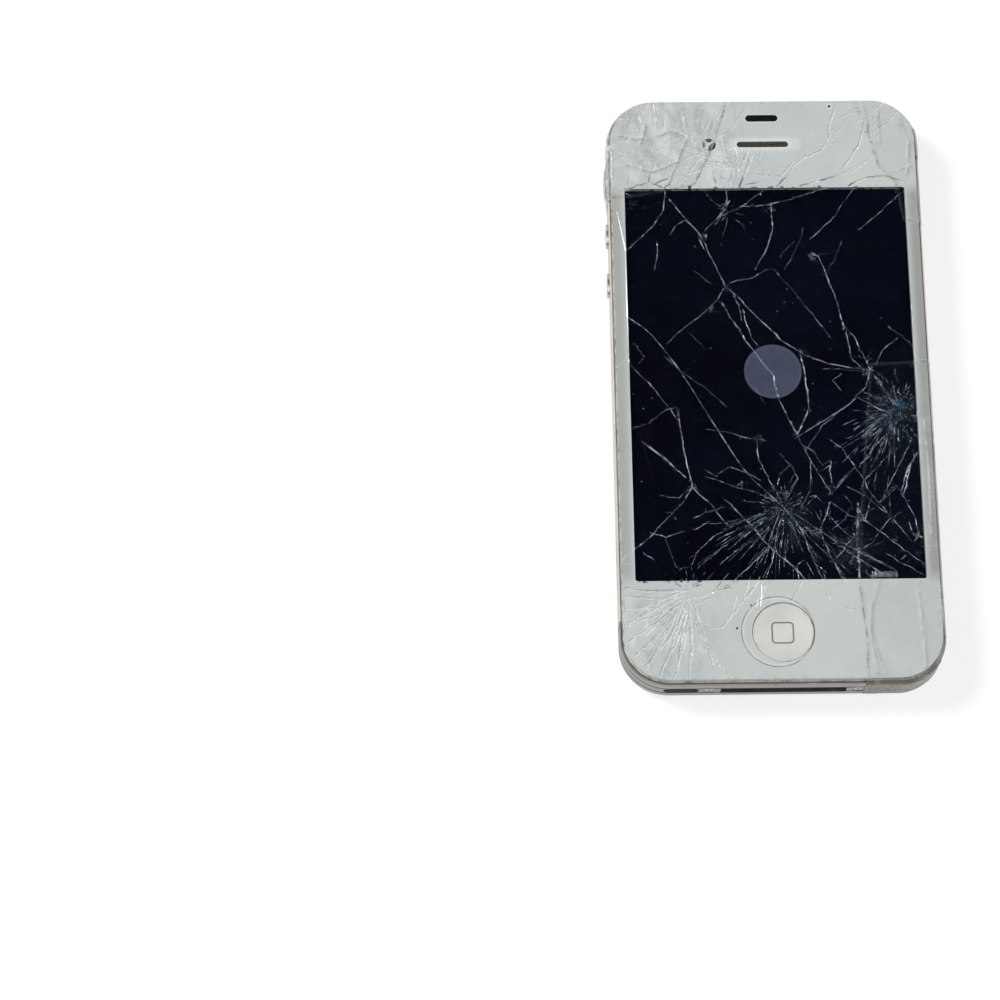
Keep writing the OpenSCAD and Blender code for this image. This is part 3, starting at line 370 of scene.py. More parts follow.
def band_steel(name, dirt=1.0, painted_shade=0.0):
    """Brushed stainless steel with scuffs, dulled patches and grime, painted shade in its two grooves, and
    painted shade over the whole piece where asked.
    """
    p = Paint(name)
    brush = p.noise(1.2, 6, (0.15, 0.15, 9))
    patch = p.noise(0.12, 4, seed=6)
    base = p.mix(brush, (0.50, 0.485, 0.45), (0.70, 0.68, 0.63))
    base = p.mix(patch.fade(0.5, 0.75) * 0.5, base, (0.36, 0.34, 0.30))
    # Painted shade that darkens the whole piece by the given share
    base = p.mix(painted_shade, base, (0.17, 0.165, 0.15))
    # Painted shade: dark lines in the two grooves along the band, joined to the grime
    groove = (abs(abs(p.z - BAND_MIDDLE) - GROOVE_OFFSET)).fall(0.14, 0.26)
    grime = p.noise(0.8, 5, seed=12).fade(0.63, 0.8) * dirt
    grime = grime.most(groove * (0.55 + 0.4 * patch))
    base = p.mix(grime * 0.75, base, (0.05, 0.045, 0.035))
    scuff = p.noise(1.6, 4, (0.3, 0.3, 1.6), seed=14).fade(0.64, 0.78)
    base = p.mix(scuff * 0.35, base, (0.85, 0.84, 0.8))
    rough = (0.24 + 0.22 * brush + 0.3 * grime).least(0.9)
    lines = p.bump(brush, 0.02, 0.5)
    return p.finish(Base_Color=base, Metallic=1 - 0.8 * grime, Roughness=rough, Normal=lines)


def sheet_steel(name, colour=(0.52, 0.52, 0.53)):
    """Plain rolled steel with faint staining."""
    p = Paint(name)
    stain = p.noise(0.25, 4, seed=2)
    brush = p.noise(1.5, 4, (6, 0.3, 1))
    darker = tuple(0.6 * c for c in colour)
    base = p.mix(stain.fade(0.4, 0.7), colour, darker)
    return p.finish(Base_Color=base, Metallic=1.0, Roughness=0.28 + 0.25 * brush)


def moulded(name, colour, rough=0.4, wear=(0.5, 0.5, 0.48), grain=3.0, metal=0.0):
    """Moulded plastic or rubber with a fine grain and a little wear."""
    p = Paint(name)
    cloud = p.noise(0.3, 4)
    darker = tuple(0.75 * c for c in colour)
    base = p.mix(cloud.fade(0.35, 0.7), colour, darker)
    worn = p.noise(1.1, 4, seed=9).fade(0.68, 0.82)
    base = p.mix(worn * 0.4, base, wear)
    pitted = p.bump(p.noise(grain, 2), 0.015, 0.4)
    return p.finish(Base_Color=base, Roughness=rough + 0.2 * cloud, Metallic=metal, Normal=pitted)


def lip_plastic():
    """Off-white plastic between glass and band, with dark grime packed along it."""
    p = Paint("lip_plastic")
    cloud = p.noise(0.2, 4)
    base = p.mix(cloud.fade(0.3, 0.7), (0.52, 0.53, 0.49), (0.62, 0.62, 0.58))
    packed = p.noise(0.7, 5, seed=3).fade(0.42, 0.68)
    base = p.mix(packed * 0.7, base, (0.10, 0.09, 0.07))
    return p.finish(Base_Color=base, Roughness=0.5 + 0.2 * packed)


def cap_white():
    """Satin white home button with a printed rounded square."""
    p = Paint("cap_white")
    cloud = p.noise(0.2, 3)
    base = p.mix(cloud.fade(0.3, 0.7), (0.63, 0.63, 0.60), (0.70, 0.70, 0.67))
    edge = abs(p.box_distance(-0.1, HOME_Y, 1.9, 1.9, 0.65)).fall(0.1, 0.2)
    base = p.mix(edge * 0.85, base, (0.13, 0.13, 0.13))
    grime = p.away(*HOME_CENTRE).fade(HOME_R - 0.5, HOME_R) * p.noise(0.7, 4, seed=5).fade(0.4, 0.7)
    base = p.mix(grime * 0.6, base, (0.3, 0.28, 0.22))
    return p.finish(Base_Color=base, Roughness=0.3 + 0.15 * cloud, Coat_Weight=0.15, Coat_Roughness=0.2)


def film_skin():
    """Dull clear film with creases, bubbles, dust and a dirty edge, with painted shade and painted highlights
    on the creases and painted glints and sheen.
    """
    p = Paint("film_skin")
    edge = p.attribute("edge")
    fold = p.attribute("fold")
    flank = p.attribute("flank")
    cloud = p.noise(0.25, 5, seed=4)
    over_window = p.box_distance(0, 0.32, 26.3, 38.7, 0.5).fall(-0.1, 0.4)
    base = p.mix(cloud.fade(0.35, 0.7), (0.63, 0.66, 0.64), (0.78, 0.81, 0.79))
    crease = p.noise(0.5, 3, seed=14).fade(0.3, 0.6)
    # Painted shade on the crease flanks that lean away from the main light, and painted highlights on those
    # that lean towards it
    base = p.mix(fold * flank.fade(0.2, 0.7), base, (0.44, 0.455, 0.44))
    base = p.mix(fold * flank.fall(-0.5, 0), base, (0.93, 0.95, 0.93))
    dirt = edge * p.noise(0.9, 4, seed=8).fade(0.4, 0.65)
    base = p.mix(dirt, base, (0.17, 0.15, 0.11))
    side = p.z.fall(7.2, 8.6)
    low = side * p.y.fall(-45, -38)
    packed = p.y.fall(-50, -42) * p.z.fall(8.3, 9.15) * p.z.fade(5.6, 7.4)
    packed = packed * p.noise(0.6, 5, seed=52).fade(0.2, 0.5)
    smear = p.noise(0.4, 7, (1, 1, 1.5), seed=26).fade(0.32, 0.68)
    base = p.mix(side * 0.5, base, (0.40, 0.38, 0.31))
    base = p.mix(low * smear, base, (0.095, 0.085, 0.045))
    base = p.mix(packed, base, (0.10, 0.095, 0.05))
    # Painted glints on the film down the sides, and a painted sheen over the top left
    glint = p.noise(2.2, 4, (1, 1, 0.6), seed=36).fade(0.64, 0.74) * side
    base = p.mix(glint, base, (0.80, 0.81, 0.76))
    sheen = p.noise(0.9, 5, (1, 0.6, 1), seed=77).fade(0.56, 0.68) * p.y.fade(38, 42) * p.x.fall(-15, -7)
    base = p.mix(sheen, base, (0.94, 0.96, 0.95))
    bubble = p.noise(2.2, 3, seed=17).fade(0.62, 0.7) * p.noise(0.2, 2, seed=18).fade(0.45, 0.6)
    base = p.mix(bubble * 0.7, base, (0.82, 0.84, 0.82))
    clear = 0.03 + 0.12 * cloud.fade(0.35, 0.75) + 0.22 * bubble
    clear = clear + 0.36 * fold * crease + 0.2 * dirt + 0.14 * edge
    clear = clear * (1 - 0.985 * over_window) + 0.02 * edge * over_window
    share = clear + 0.22 * side + 0.55 * low * smear + 0.25 * glint + 0.5 * packed + 0.35 * sheen
    rough = 0.14 + 0.2 * cloud
    ripple = p.bump(p.noise(0.9, 4, seed=30), 0.05, 0.5)
    return p.finish(Base_Color=base, Alpha=share.least(0.95), Roughness=rough, Normal=ripple,
                    Specular_IOR_Level=0.8)


def rear_print():
    """White print under the rear glass, plain, with fine scratches."""
    p = Paint("rear_print")
    cloud = p.noise(0.06, 4)
    base = p.mix(cloud.fade(0.3, 0.7), (0.55, 0.58, 0.565), (0.62, 0.645, 0.63))
    scratch = p.noise(0.8, 3, (8, 0.35, 1), seed=4).fade(0.68, 0.74)
    scratch = scratch.most(p.noise(0.8, 3, (0.3, 7, 1), seed=19).fade(0.7, 0.75))
    base = p.mix(scratch * 0.4, base, (0.40, 0.41, 0.40))
    smear = p.noise(0.15, 5, seed=7)
    return p.finish(Base_Color=base, Roughness=0.08 + 0.22 * smear, Coat_Weight=0.5, Coat_Roughness=0.05)


def card_print(low, high):
    """White plastic card with a gilt contact patch cut into pads."""
    p = Paint("card_print")
    x, y = (low.x + high.x) / 2, (low.y + high.y) / 2
    cloud = p.noise(0.4, 3)
    base = p.mix(cloud.fade(0.3, 0.7), (0.60, 0.61, 0.60), (0.70, 0.71, 0.69))
    patch = p.box_distance(x, y, 4, 5, 0.8).fall(-0.03, 0.03)
    lines = abs(abs(p.x - x) - 1.4).fall(0.06, 0.14).most(abs(abs(p.y - y) - 1.2).fall(0.06, 0.14))
    gilt = patch * (1 - 0.8 * lines)
    base = p.mix(gilt, base, (0.78, 0.57, 0.24))
    return p.finish(Base_Color=base, Metallic=gilt, Roughness=0.3 + 0.2 * cloud)


def chip_glass():
    """Crushed glass crumbs."""
    p = Paint("chip_glass")
    tint = p.noise(2, 2)
    base = p.mix(tint, (0.25, 0.30, 0.36), (0.55, 0.58, 0.62))
    return p.finish(Base_Color=base, Roughness=0.15 + 0.3 * tint)


# ---------------------------------------------------------------- meshes
def stand(name, mesh):
    """Puts a mesh in the scene as an object at the origin."""
    holder = bpy.data.objects.new(name, mesh)
    bpy.context.scene.collection.objects.link(holder)
    return holder


def declare(piece, body, stands_for=()):
    """Says which body a piece rides on and the CAD nodes that it stands for."""
    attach(piece, body)
    if stands_for:
        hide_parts(*stands_for)


def new_piece(name, points, faces, materials, body, stands_for=(), face_slots=None, smooth=False):
    """Makes a mesh from points in millimetres and gives it its body and slot."""
    mesh = bpy.data.meshes.new(name)
    mesh.from_pydata([Vector(p) * MM for p in points], [], faces)
    for material in materials:
        mesh.materials.append(material)
    if face_slots is not None:
        mesh.polygons.foreach_set("material_index", face_slots)
    if smooth:
        mesh.polygons.foreach_set("use_smooth", [True] * len(mesh.polygons))
    mesh.update()
    piece = stand(name, mesh)
    declare(piece, body, stands_for)
    return piece


def add_attribute(piece, name, values, domain="POINT"):
    """Gives a piece one number for each point, or each corner, for its material to read."""
    made = piece.data.attributes.new(name, "FLOAT", domain)
    made.data.foreach_set("value", values)


def arc(x, y, radius, start, end, count):
    """Points along a part of a circle, both ends included."""
    return [(x + radius * math.cos(a), y + radius * math.sin(a))
            for a in (start + (end - start) * i / count for i in range(count + 1))]


def rounded_box(left, right, low, high, corner, count=12):
    """Outline of a rectangle with round corners, anticlockwise."""
    quarter = math.pi / 2
    centres = ((right - corner, high - corner), (left + corner, high - corner),
               (left + corner, low + corner), (right - corner, low + corner))
    return [point for i, (x, y) in enumerate(centres)
            for point in arc(x, y, corner, i * quarter, (i + 1) * quarter, count)]


def slot_outline(x, y, width, height, count=12):
    """Outline of a flat slot with round ends, anticlockwise."""
    half = (width - height) / 2
    return (arc(x + half, y, height / 2, -math.pi / 2, math.pi / 2, count)
            + arc(x - half, y, height / 2, math.pi / 2, 3 * math.pi / 2, count))


def box_away(x, y, half_w, half_l, corner):
    """Signed distance from the outline of a rounded rectangle about the origin."""
    across = abs(x) - (half_w - corner)
    along = abs(y) - (half_l - corner)
    outside = math.hypot(max(across, 0), max(along, 0))
    return outside + min(max(across, along), 0) - corner


def inside(point, outline):
    """True if a point lies inside a closed outline."""
    x, y = point
    odd = False
    for (x0, y0), (x1, y1) in zip(outline, outline[1:] + outline[:1]):
        if (y0 > y) != (y1 > y) and x < (x1 - x0) * (y - y0) / (y1 - y0) + x0:
            odd = not odd
    return odd


def middle_of(points, face):
    """Middle of a face, seen from above."""
    return tuple(sum(points[i][axis] for i in face) / 3 for axis in (0, 1))


def in_window(x, y):
    """True over the clear window, its round corners left aside."""
    return WINDOW_LEFT < x < WINDOW_RIGHT and WINDOW_LOW < y < WINDOW_HIGH


def on_glass(x, y):
    """True inside the glass outline, outside the home button's hole and the earpiece slot."""
    return (box_away(x, y, GLASS_W, GLASS_L, GLASS_CORNER) <= 0
            and math.hypot(x, y - HOME_Y) >= HOME_HOLE_R
            and not inside((x, y), EAR_SLOT))


EAR_SLOT = slot_outline(0, EAR_Y, EAR_W, EAR_H)
WINDOW_OUTLINE = rounded_box(*WINDOW, WINDOW_CORNER, 4)


# ---------------------------------------------------------------- cracks
# Each run is (brightness, width, points); the points were chosen one by one
RUNS = [
    (0.75, 0.30, [(-26.5, 13.2), (-23, 10.5), (-20.5, 7.5), (-16.5, 1.5), (-11.5, -7.5), (-6, -17),
                  (-2, -21.5), STRIKE_MIDDLE]),
    (0.5, 0.28, [(-18.5, 39.5), (-19.2, 34.5), (-21, 31.5), (-26.4, 26.3)]),
    (0.6, 0.32, [(-18, 37), (-15.5, 33.5), (-12, 29), (-10.8, 25.5), (-8, 19), (-5, 16), (-2, 12.5),
                 (2, 8), (6.5, 5), (10, 3.5), (16.5, 2.3), (18, 2)]),
    (0.45, 0.26, [(-11.8, 30), (-9, 33), (-4.5, 35.2), (1.3, 39.6)]),
    (0.55, 0.26, [(-7, 39.5), (-7.3, 36), (-9, 32.5)]),
    (0.3, 0.22, [(-11.5, 39), (-10, 36.5), (-8, 34.7)]),
    (0.5, 0.3, [(1, 35.5), (1.2, 30.5), (-0.5, 25.5), (-2.5, 22.5)]),
    (0.5, 0.28, [(0, 22.5), (-3, 20.7), (-6.5, 20), (-8, 19)]),
    (0.3, 0.24, [(0.8, 22.6), (6, 16), (11, 8.5)]),
    (0.6, 0.3, [(-4.5, 35.2), (1, 35.6), (6.5, 37.2), (12.5, 39.2)]),
    (0.4, 0.22, [(17, 39), (12, 32), (8, 28.5)]),
    (0.4, 0.22, [(26.4, 38.5), (21, 33.5), (17, 30)]),
    (0.55, 0.3, [(8, 25.5), (9.5, 25), (11.5, 19), (12.7, 15.5), (13.5, 11), (15.5, 8.5), (17.5, 3.5),
                 (18, 2)]),
    (0.5, 0.3, [(13.2, 12.5), (14, 9), (14.7, 4.5), (16.5, 2.5)]),
    (0.4, 0.24, [(19, 3), (20.5, 6), (23.7, 8.5)]),
    (0.45, 0.26, [(21.5, 11), (24, 9), (26, 7), (26.4, 4.5), (25.5, 2.5)]),
    (0.55, 0.3, [(18, 2), (16.8, -1.5), (14, -4.5), (8.5, -8), (4.5, -10.5)]),
    (0.6, 0.34, [(14.8, -2.8), (18, -5), (21.5, -6.5)]),
    (0.3, 0.2, [(13, 1.5), (11, 0), (12.5, -2)]),
    (0.45, 0.24, [(9.5, -11), (12, -13), (15, -18), (17, -22), (20, -26)]),
    (0.5, 0.26, [(15, -17), (18, -13), (22, -9)]),
    (0.45, 0.24, [(18.5, -24), (21, -19), (24.5, -12.5)]),
    (0.7, 0.42, [(22.5, -21.5), (24, -17), (26, -14)]),
    (0.5, 0.3, [(22.5, -22), (24.5, -26), (25.2, -30), (24.3, -31.5)]),
    (0.5, 0.3, [(15.5, -27), (18.5, -29.5), (22, -32.5), (26.4, -36)]),
    (0.65, 0.5, [(-24.5, -11.5), (-21, -14.2), (-18.5, -16.5)]),
    (0.5, 0.28, [(-24, -11.7), (-20.5, -15), (-16.5, -18.7)]),
    (0.45, 0.3, [(-17.8, -5), (-17.4, -8), (-16.5, -14.5), (-16, -17.5), (-15.5, -20.5), (-12.5, -23.5),
                 (-8.8, -28.5)]),
    (0.4, 0.26, [(-26.4, 4), (-22, -1), (-17.6, -7.5)]),
    (0.5, 0.3, [(-15.5, -20.5), (-17, -23), (-19.5, -25.7), (-24.5, -31), (-29, -34.5)]),
    (0.4, 0.24, [(4, -10.5), (6.5, -16), (9, -20.5), (10.5, -20.6)]),
    (0.55, 0.3, [(9.5, -23.5), (8.8, -26), (7.3, -29), (9.5, -35), (11.5, -39)]),
    (0.6, 0.42, [(-10, -22.5), (-5, -28), (-1.5, -32.5), (2.5, -36), (4.5, -38.5), (7, -39.5)]),
    (0.6, 0.34, [(-1.7, -31.7), (-5, -35), (-8.5, -38.6), (-10.5, -39.6)]),
    (0.5, 0.3, [(-3.8, -38.4), (-6.5, -41.5), (-8.7, -44.5), (-11, -47.2), (-13.5, -47.4)]),
    (0.5, 0.3, [(6.8, -39), (8.5, -42), (11, -43.7), (13.6, -44.5)]),
    (0.45, 0.34, [(14.5, -23.5), (14, -31), (14.1, -38.6), (14.4, -42), (15, -47), (16, -53), (17, -57)]),
    (0.45, 0.3, [(-9, 16), (-6.3, 11), (-3, 5.5), (0, 1.5), (1, -3.5), (4, -10.5)]),
    (0.55, 0.4, [(5, 6.5), (5.8, 3), (6.3, -2), (6.5, -5.5), (4, -10.5), (4, -11)]),
    (0.4, 0.26, [(-7.5, 19), (-5.8, 15.5), (-5.2, 12)]),
    (0.4, 0.26, [(-12.5, -9.2), (-9, -9.8), (-5, -11), (-1.5, -11.5)]),
    (0.45, 0.3, [(-3.5, -11), (-3.3, -15), (-1, -20), (0.6, -23.5)]),
    (0.4, 0.26, [(-13, -17), (-11, -18.5), (-8.5, -16.5)]),
    (0.5, 0.32, [(-8.5, -16.5), (-5.5, -17.7), (-3, -19.3)]),
    (0.35, 0.26, [(-13, -18.5), (-9, -20), (-4, -21.5), (0, -23.5)]),
    (0.35, 0.3, [(2.5, -16), (3.8, -19), (1.5, -23)]),
    (0.6, 0.34, [STRIKE_MIDDLE, (3.5, -28), (4.8, -31), (6.8, -37), (8.6, -40)]),
    (0.45, 0.26, [(2.5, -25.5), (8, -29.5), (14, -34.5), (18.5, -37.5)]),
    (0.35, 0.22, [(9, -30), (13.5, -32.5), (20.5, -36.5)]),
    (0.4, 0.26, [(-6.3, -23.2), (-2, -23.8)]),
    (0.5, 0.3, [(-15.5, -26.5), (-13, -25.3), (-9.5, -24.3)]),
    (0.5, 0.32, [(-15.5, -28.7), (-12.5, -27)]),
    (0.45, 0.3, [(-23.5, -29), (-20.5, -30), (-17, -28.8)]),
    (0.4, 0.24, [(-16.2, -35.5), (-15, -33), (-12, -30), (-8, -27.8)]),
    (0.4, 0.24, [(-15, -36), (-12, -33.5), (-9, -31)]),
    (0.4, 0.26, [(-11, -35.5), (-9.5, -34), (-7.3, -32.3)]),
    (0.35, 0.24, [(-20.8, -30), (-20, -32.5), (-18.7, -36)]),
    (0.4, 0.24, [(-24.8, -32.8), (-22.5, -34.5)]),
    (0.3, 0.3, [(-18.5, -36.2), (-16.2, -35.6)]),
    (0.3, 0.22, [(-25.5, 8), (-23.5, 5.2), (-24.5, 3.8)]),
    (0.3, 0.22, [(-20, 5.5), (-16, 1.5), (-12, -1.5), (-8.5, -5)]),
    (0.25, 0.2, [(-14, 22.5), (-10.5, 19.5)]),
    (0.25, 0.22, [(-3.5, -1), (-1.5, -4.5)]),
    (0.35, 0.3, [(-26.5, 38.5), (-24.8, 37.5)]),
    (0.3, 0.24, [(10, 21), (12.5, 24), (14, 28)]),
    (0.3, 0.22, [(3.5, 23), (5.5, 26.5), (7, 31)]),
    (0.3, 0.22, [(2, 24.5), (4, 27), (5.3, 28)]),
    (0.45, 0.26, [(-9.5, 31.4), (-7.7, 34.5), (-6.4, 36.8)]),
    (0.35, 0.24, [(5.5, -13.5), (8.5, -9), (11.5, -6.5)]),
    (0.3, 0.24, [(-29, 2.8), (-27.5, 4.2), (-26, 6.5)]),
    (0.3, 0.2, [(26.3, 4), (29, 4)]),
    (0.3, 0.2, [(26.3, -11.5), (29, -11.6)]),
    (0.3, 0.2, [(26, 32), (29, 31.6)]),
    (0.3, 0.24, [(-20.6, 28.5), (-20.4, 26.4), (-21, 22)]),
    (0.35, 0.26, [(-18, 29.5), (-17, 31.4), (-15, 32.6)]),
    (0.45, 0.28, [(-8, 19), (-10, 16), (-11.5, 14.4), (-16.5, 10.3), (-19.5, 7.4)]),
    (0.2, 0.2, [(-15.5, 10.5), (-12, 6.4)]),
    (0.4, 0.26, [(-5, 14.5), (-4.6, 12), (-3.6, 8.6), (-2.4, 7)]),
    (0.3, 0.24, [(0, -20.5), (0.5, -18.4), (2.5, -16.4), (0.6, -14)]),
    (0.35, 0.24, [(6.3, -15), (6, -21.4), (4, -25)]),
    (0.5, 0.34, [(10, -15.4), (9.6, -17.5), (10, -20)]),
    (0.4, 0.24, [(12, -13.4), (18, -9.4)]),
    (0.4, 0.24, [(16.5, -19), (22, -13)]),
    (0.4, 0.24, [(18.5, -23.5), (21.5, -20.4)]),
    (0.4, 0.24, [(17.5, -14.5), (15, -16.4)]),
    (0.4, 0.24, [(19.5, -13), (18, -16)]),
    (0.45, 0.3, [(23.5, -27.4), (24, -29.4), (25, -30.6)]),
    (0.35, 0.24, [(21, -20), (23, -22.4)]),
    (0.4, 0.26, [(15.5, -27.5), (17, -22.6)]),
    (0.4, 0.26, [(14.5, -24.5), (15.5, -27.5)]),
    (0.4, 0.26, [(10, -34.6), (14.5, -29)]),
    (0.4, 0.24, [(3.5, -26), (7.5, -29.4), (14, -33), (21, -37)]),
    (0.3, 0.22, [(14.5, -35), (17.5, -36.6)]),
    (0.3, 0.22, [(4, -25), (7, -22.4), (8.5, -24)]),
    (0.25, 0.22, [(9.5, -29), (12, -27), (13.4, -24), (12, -22)]),
    (0.35, 0.24, [(4.5, -29), (7, -29), (8, -28.5)]),
    (0.4, 0.26, [(4.5, -34.6), (3, -35.6), (3.1, -38.4)]),
    (0.5, 0.3, [(18.5, 1.5), (20.5, -2), (22, -5)]),
    (0.4, 0.26, [(19.5, 0.5), (21, -3)]),
    (0.5, 0.3, [(16.5, -6), (19.5, -8.6)]),
    (0.6, 0.4, [(24.6, -16.4), (23, -22)]),
    (0.3, 0.2, [(18.5, 1.6), (14, 2.2), (9, 2.4)]),
    (0.45, 0.26, [(2.5, -26.5), (6, -31), (9.3, -34.5), (12, -39)]),
    (0.4, 0.24, [(1, -25), (-0.6, -30), (-1.5, -35), (-3, -38.5)]),
    (0.35, 0.24, [(14.3, -27), (18, -24.5), (21.5, -21)]),
    (0.4, 0.24, [(17, -31), (20, -27), (22.5, -25.5)]),
    (0.4, 0.24, [(12.5, -20.5), (16, -22.5), (20.5, -26.5), (24, -31.5)]),
    (0.4, 0.24, [(9.5, -23.5), (12.8, -26.3), (16.5, -27.4)]),
    (0.35, 0.22, [(9, -26), (12, -29.5), (14, -31)]),
    (0.4, 0.26, [(19, -33.5), (22, -35.5), (26.4, -38)]),
    (0.4, 0.24, [(5, -12.5), (6.8, -13.6), (8.5, -16.5)]),
    (0.35, 0.22, [(-21.5, -22), (-18, -22.6), (-15.5, -20.5)]),
    (0.3, 0.22, [(-26.4, -9), (-23, -8), (-20, -5.5), (-17.8, -5)]),
    # Relief in the white print at the top end
    (0.5, 0.34, [(-26.5, 38.6), (-24, 39.7), (-21.5, 40.2), (-19, 39.3)]),
    (0.4, 0.34, [(-20.5, 40), (-17, 41.5), (-13.5, 42), (-10.5, 43.5)]),
    (0.4, 0.34, [(-19, 39), (-16.5, 40.8), (-13.5, 41.6)]),
    (0.45, 0.4, [(-22, 39.8), (-20.5, 43.5), (-21, 47.5)]),
    (0.35, 0.36, [(-18, 47), (-13, 46), (-9.5, 45.3), (-10.2, 47)]),
    (0.45, 0.36, [(-10.2, 44.5), (-9, 42.5), (-6, 39.6)]),
    (0.45, 0.4, [(-6.8, 39), (-5.8, 42), (-5, 45.5)]),
    (0.45, 0.4, [(-4.8, 39), (-3.3, 42.5), (-2.2, 46)]),
    (0.35, 0.3, [(-5, 45.3), (-7.5, 43.5), (-9, 42.5)]),
    (0.3, 0.3, [(-12, 57), (-10, 53.5), (-9.5, 50.5), (-9.8, 49.5)]),
    (0.35, 0.36, [(-6, 57), (-8.5, 53.5), (-9.5, 51)]),
    (0.3, 0.36, [(-3, 55.5), (-6, 51), (-8.7, 49.3)]),
    (0.3, 0.3, [(-11.2, 48), (-16, 48.3), (-20, 47)]),
    (0.35, 0.3, [(-11.3, 49), (-14.5, 52), (-16, 56.5)]),
    (0.3, 0.3, [(-8.8, 48), (-6, 47.3), (-4, 48)]),
    (0.4, 0.36, [(-2, 41.8), (0.5, 41.5), (3, 41.3), (5.5, 44), (9, 46.3)]),
    (0.35, 0.34, [(2, 39), (4.5, 41.5), (5.8, 43.7)]),
    (0.55, 0.4, [(5, 43), (8, 45.3), (11, 46.6), (12.5, 48.8), (12.8, 52), (14, 55.3)]),
    (0.3, 0.3, [(12, 47.5), (15, 51.5), (17.5, 54.5)]),
    (0.4, 0.36, [(6.5, 39.3), (12.5, 41), (17, 42.5), (20.5, 45)]),
    (0.5, 0.34, [(15.5, 39.3), (19.5, 41), (22.5, 41.4), (25, 40.5), (27, 39.8)]),
    (0.55, 0.44, [(15, 43), (18, 47.5), (19.2, 51.5), (19.5, 53)]),
    (0.4, 0.36, [(22, 53.5), (21.7, 47.5)]),
    (0.4, 0.34, [(17.5, 52.5), (20, 53.2), (23, 56.5)]),
    (0.35, 0.3, [(20, 53.2), (25, 54.5)]),
    (0.35, 0.3, [(22.8, 41.3), (25.5, 42.8), (28.2, 44)]),
    (0.35, 0.3, [(21, 45.5), (17, 43), (13, 41.2)]),
    (0.3, 0.3, [(25, 51), (28, 52.5)]),
    # Relief in the white print at the home button's end
    (0.45, 0.36, [STRIKE_LOW, (-20, -40.4), (-25, -40.2), (-28.3, -39.4)]),
    (0.45, 0.36, [(-17.5, -40.5), (-22, -41.7), (-28.3, -41.3)]),
    (0.45, 0.36, [(-17.5, -41), (-22, -43.2), (-28.3, -43.6)]),
    (0.45, 0.36, [(-18, -41.8), (-23, -45), (-28.3, -46.2)]),
    (0.5, 0.36, [(-18, -42.5), (-23, -46.5), (-28, -49.8)]),
    (0.5, 0.4, [(-17.5, -43), (-22, -48), (-27, -52.6)]),
    (0.5, 0.4, [(-17.5, -44), (-20.5, -49), (-25, -54.6)]),
    (0.5, 0.4, [(-17, -44.5), (-19.3, -50), (-22.5, -56.3)]),
    (0.45, 0.4, [(-16.8, -45.5), (-18, -51), (-20, -56.8)]),
    (0.4, 0.36, [(-16.5, -45.8), (-16.8, -51), (-17.3, -57)]),
    (0.55, 0.44, [(-15.5, -46.5), (-14, -50.5), (-12, -54), (-9, -57)]),
    (0.35, 0.3, [(-16.5, -45.8), (-14.5, -46), (-13, -46.8)]),
    (0.4, 0.34, [(-17.5, -42), (-15, -41.5), (-12, -40.2), (-9, -39.8)]),
    (0.4, 0.34, [(-15.5, -42.8), (-12.5, -41.6)]),
    (0.35, 0.3, [(-22, -43.5), (-19.5, -44.3), (-16.5, -43.2), (-17, -41)]),
    (0.35, 0.34, [(-3, -38.6), (-2, -41), (-2.3, -43)]),
    (0.35, 0.34, [(3.8, -38.6), (2.2, -41.5), (1.5, -43.4)]),
    (0.3, 0.3, [(-29, -34.5), (-27, -35)]),
    (0.35, 0.3, [(17.5, -38.6), (16.5, -42), (15.3, -45)]),
]

# Sprays of short cracks about a blow: centre, count, directions in degrees, nearest and farthest start,
# shortest and longest, brightness
SPRAYS = [
    (STRIKE_MIDDLE, 60, (0, 360), (0.3, 3.5), (0.6, 2.0), 0.6),
    (STRIKE_MIDDLE, 60, (185, 262), (4, 19), (1.5, 5.0), 0.52),
    (STRIKE_MIDDLE, 26, (262, 335), (3, 14), (1.2, 4.5), 0.5),
    (STRIKE_MIDDLE, 18, (20, 150), (1.5, 6), (0.8, 2.5), 0.36),
    (STRIKE_RIGHT, 46, (60, 200), (0.4, 6.5), (0.7, 2.6), 0.68),
    (STRIKE_RIGHT, 90, (190, 300), (0.5, 8.5), (0.8, 3.4), 0.66),
    (STRIKE_RIGHT, 40, (210, 262), (6, 17), (1.5, 5), 0.55),
    (STRIKE_RIGHT, 40, (-60, 60), (0.3, 3.2), (0.5, 1.6), 0.65),
    ((14, -33), 40, (0, 360), (0.3, 4.5), (0.6, 2.2), 0.48),
    ((8, -28), 40, (0, 360), (1, 6.5), (0.7, 2.4), 0.42),
    ((-25.3, 35.5), 26, (0, 360), (0.2, 2.5), (0.3, 0.9), 0.2),
    (STRIKE_LOW, 26, (20, 180), (0.3, 4), (0.5, 2.0), 0.4),
    ((24, -33), 24, (0, 360), (0.5, 4.0), (0.5, 2.2), 0.34),
    ((-7, 34), 14, (0, 360), (0.5, 4.0), (0.8, 2.4), 0.32),
    ((17, 4), 14, (0, 360), (0.5, 3.0), (0.6, 2.0), 0.36),
    (STRIKE_MIDDLE, 20, (188, 262), (1.5, 7), (5, 11), 0.44),
    (STRIKE_MIDDLE, 12, (264, 330), (1.5, 5), (4, 9), 0.44),
    (STRIKE_RIGHT, 18, (188, 258), (1.0, 4), (3, 8), 0.55),
    (STRIKE_RIGHT, 12, (80, 170), (0.6, 2.5), (2, 5.5), 0.55),
]

# Knots where runs meet and the glass is crushed to a bright point
KNOTS = [(-12, 29), (-8, 19), (-11.5, 14.4), (8.5, 25.2), (-15.5, -20.5), (-6.3, -20), (9.5, -21),
         (-3.2, -11.3), (-17.6, -5.6), (17.8, 2), (-19.3, -25.7), (20.5, -27), (25, -29.8), (-8, 35),
         (1.2, 35), (6, 5.4), (4, -10.6), (14.2, -27.5), (-5, -28), (7.4, -29), (16.5, -37.8)]
SPRAYS += [(knot, 9, (0, 360), (0.05, 0.5), (0.25, 0.95), 0.95) for knot in KNOTS]

